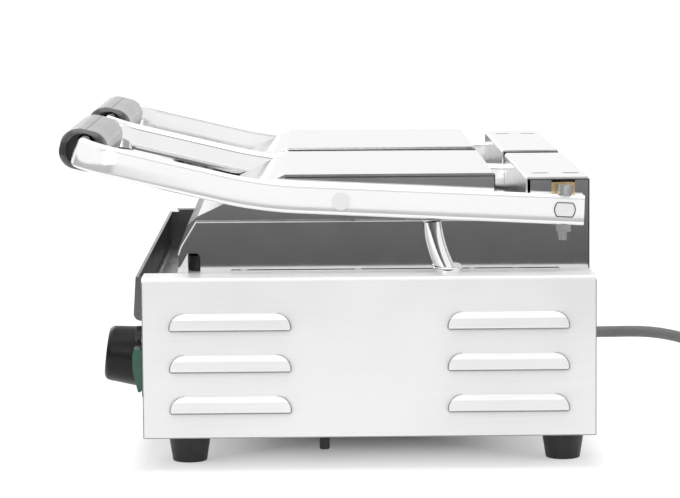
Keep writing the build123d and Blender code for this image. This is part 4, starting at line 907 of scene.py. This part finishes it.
def arm_section():
    """Outline of the tube as (across, up) pairs: crowned sides that lean in above their widest."""
    top_tilt = (arm_height / 2 - arm_corner - arm_widest) / side_crown
    low_tilt = (arm_height / 2 - low_corner + arm_widest) / side_crown
    half = []
    for tilt, rise, corner in ((-low_tilt, -1, low_corner), (top_tilt, 1, arm_corner)):
        corner_x = arm_width / 2 - side_crown * (1 - cos(tilt)) - corner * cos(tilt)
        corner_z = rise * (arm_height / 2 - corner)
        quarter = []
        for step in range(8):
            turn = tilt + (rise * pi / 2 - tilt) * step / 7
            quarter.append((corner_x + corner * cos(turn), corner_z + corner * sin(turn)))
        side = []
        for step in range(7):
            turn = tilt * step / 7
            side.append((arm_width / 2 - side_crown * (1 - cos(turn)), arm_widest + side_crown * sin(turn)))
        half += (side + quarter)[::-1] if rise < 0 else (side + quarter)[1:]
    return half + [(-x, z) for x, z in reversed(half)]


def fillet_line(before, corner, after, radius, steps):
    """Points of the arc that rounds a corner."""
    back = (before - corner).normalized()
    ahead = (after - corner).normalized()
    half = back.angle(ahead) / 2
    reach = radius / tan(half)
    centre = corner + (back + ahead).normalized() * radius / sin(half)
    start = corner + back * reach - centre
    end = corner + ahead * reach - centre
    turn = start.rotation_difference(end)
    return [centre + Quaternion().slerp(turn, step / steps) @ start for step in range(steps + 1)]


hinge_y = 0.16775
hinge_z = 0.1769
arm_slope = radians(2.86)
rear_overhang = 0.0136  # how far the arm runs on behind the hinge
knee_y = front_y + 0.0817
crossbar_y = front_y - 0.044
crossbar_z = 0.2177
knee_radius = 0.300
crossbar_radius = 0.028
bends = [(knee_radius, 12), (crossbar_radius, 16), (crossbar_radius, 16), (knee_radius, 12)]
grill_offset = 0.132
arm_offset = 0.1245
for name, side in halves.items():
    corners = []
    for arm in (1, -1):
        x = side * (grill_offset + arm * arm_offset)
        arm_corners = [
            Vector((x, hinge_y + rear_overhang, hinge_z - rear_overhang * tan(arm_slope))),
            Vector((x, knee_y, hinge_z + (hinge_y - knee_y) * tan(arm_slope))),
            Vector((x, crossbar_y, crossbar_z)),
        ]
        corners += arm_corners[::arm]
    middle_line = [corners[0]]
    for first, (radius, steps) in enumerate(bends):
        middle_line += fillet_line(*corners[first : first + 3], radius, steps)
    middle_line.append(corners[5])
    arm_plane = Vector((0, corners[2].y - corners[1].y, corners[2].z - corners[1].z)).normalized()
    tube_shape = bmesh.new()
    outline = arm_section()
    rings = []
    for number, centre in enumerate(middle_line):
        before = middle_line[max(0, number - 1)]
        after = middle_line[min(len(middle_line) - 1, number + 1)]
        heading = (after - before).normalized()
        on_arm = abs(heading.x) < 0.001
        up = Vector((1, 0, 0)).cross(heading if on_arm else arm_plane)
        up = up if up.z > 0 else -up
        across = heading.cross(up).normalized()
        rings.append([tube_shape.verts.new(centre + across * x + up * z) for x, z in outline])
    count = len(outline)
    for number, (low, high) in enumerate(zip(rings, rings[1:])):
        for step in range(count):
            after = (step + 1) % count
            face = tube_shape.faces.new((low[step], low[after], high[after], high[step]))
            # The outer arm's half of the tube takes the painted-white copy of the chrome, and the inner
            # half takes the plain chrome.
            face.material_index = int(number >= len(rings) // 2)
    for number, ring in enumerate((rings[0], rings[-1])):
        tube_shape.faces.new(ring).material_index = number
    handle_tube = finished(f"handle_tube_{name}", tube_shape, painted_white_chrome, 50)
    handle_tube.data.materials.append(chrome)
    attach(handle_tube, f"lid_{name}")
    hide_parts(f"handle_frame_{name}")
# Painted shade and a real seam: a near-black for the bead round each shaft's end, in place of the shade in
# the gap between shaft and arm, and for the grips' seams.
shade_and_seam_black = metal("shade_and_seam_black", grey(0.05), grey(0.03), 0.5, 0.003, metallic=0.2)
shaft_radius = 0.0070
shaft_flat = 0.00475  # from the shaft's centre to each of its two flats
gap_radius = 0.0072
shaft_outline = []
flat_turn = atan2(shaft_flat, sqrt(shaft_radius**2 - shaft_flat**2))
for middle in (0, pi):
    for step in range(13):
        angle = middle - flat_turn + 2 * flat_turn * step / 12
        shaft_outline.append(Vector((gap_radius * cos(angle), gap_radius * sin(angle))))
for name, side in halves.items():
    gap_paths = []
    for arm in (1, -1):
        face_x = side * grill_offset + side * arm * arm_offset + side * arm * (arm_width / 2 - 0.0001)
        ring = []
        for spot in [*shaft_outline, shaft_outline[0]]:
            y = hinge_y + spot.x * cos(arm_slope) + spot.y * sin(arm_slope)
            z = hinge_z - spot.x * sin(arm_slope) + spot.y * cos(arm_slope)
            ring.append(((face_x, y, z), 1))
        gap_paths.append(ring)
    # Painted shade: a dark bead round the shaft's double-D end on each arm's outer face.
    shaft_gap_shade = beads(f"shaft_gaps_{name}", gap_paths, shade_and_seam_black, 0.0004)
    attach(shaft_gap_shade, f"lid_{name}")
bright_zinc = metal("bright_zinc", grey(0.97), grey(0.94), 0.3, 0.012, metallic=0.3)
finish_nodes(bright_zinc, "hinge_shaft", "pivot_pins")
bolt_zinc = metal("bolt_zinc", grey(0.86), grey(0.78), 0.2, 0.006, metallic=0.85)
finish_nodes(bolt_zinc, "clamp_bolts", "clamp_nuts")

# Grips: black plastic sleeves moulded in two halves round the crossbars, glossy from use. A seam
# runs along the top of each.
grip_black, tree, shader, place = new_material("grip_black", (0.040, 0.040, 0.041), 0.3)
grip_patches = spread(tree, speckle(tree, place, 0.05, detail=1.0), 0, 1)
grip_shade = blend_colours(tree, grip_patches, (0.034, 0.034, 0.035), (0.044, 0.044, 0.045))
grip_wear = spread(tree, speckle(tree, place, 0.05, detail=1.0), 0.27, 0.33)
shaded(tree, shader, grip_shade, grip_wear)
shader.inputs["Coat Weight"].default_value = 0.5
shader.inputs["Coat Roughness"].default_value = 0.15
finish_nodes(grip_black, "grip")
for name, side in halves.items():
    grip_mesh = cad[f"grip_{name}"].data
    grip_corners = [point.co for point in grip_mesh.vertices]
    grip_skin = BVHTree.FromPolygons(grip_corners, [face.vertices for face in grip_mesh.polygons])
    grip_low, grip_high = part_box(f"grip_{name}")
    seam_y = (grip_low[1] + grip_high[1]) / 2 + 0.002
    seam = []
    for step in range(29):
        x = grip_low[0] + 0.0012 + (grip_high[0] - grip_low[0] - 0.0024) * step / 28
        top = grip_skin.ray_cast(Vector((x, seam_y, 1)), Vector((0, 0, -1)))[0]
        seam.append(((x, seam_y, top.z - 0.0001), 1))
    grip_seam = beads(f"grip_seam_{name}", [seam], shade_and_seam_black, 0.00028)
    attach(grip_seam, f"lid_{name}")

# Heads: folded stainless hoods over the upper castings, hung on pivot brackets so that they rock
# between the arms. Thin dark beads under their tops' side edges and down their rear corners are
# painted shade for the dark lines at the mirror-polished folded corners.
hood_steel = metal("hood_steel", grey(0.82), grey(0.78), 0.1, 0.04, change=0.02)
finish_nodes(hood_steel, "head_casing")
finish_nodes(zinc, "pivot_brackets")
for name in halves:
    hood_low, hood_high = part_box(f"head_casing_{name}")
    hood_top = hood_high[2] - 0.0021
    slope_top_y = front_y + 0.0993
    hood_rear_y = hood_high[1] - 0.0004
    hood_paths = []
    for x in (hood_low[0] + 0.0002, hood_high[0] - 0.0002):
        front_end = ((x, slope_top_y, hood_top), 1)
        rear_end = ((x, hood_rear_y, hood_top), 1)
        hood_paths.append([front_end, rear_end, ((x, hood_rear_y, hood_low[2] + 0.001), 1)])
    # Painted shade: dark beads under the hood's top side edges and down its rear corners.
    hood_shade_lines = beads(f"hood_lines_{name}", hood_paths, painted_shade_dark, 0.0006)
    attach(hood_shade_lines, f"head_{name}")
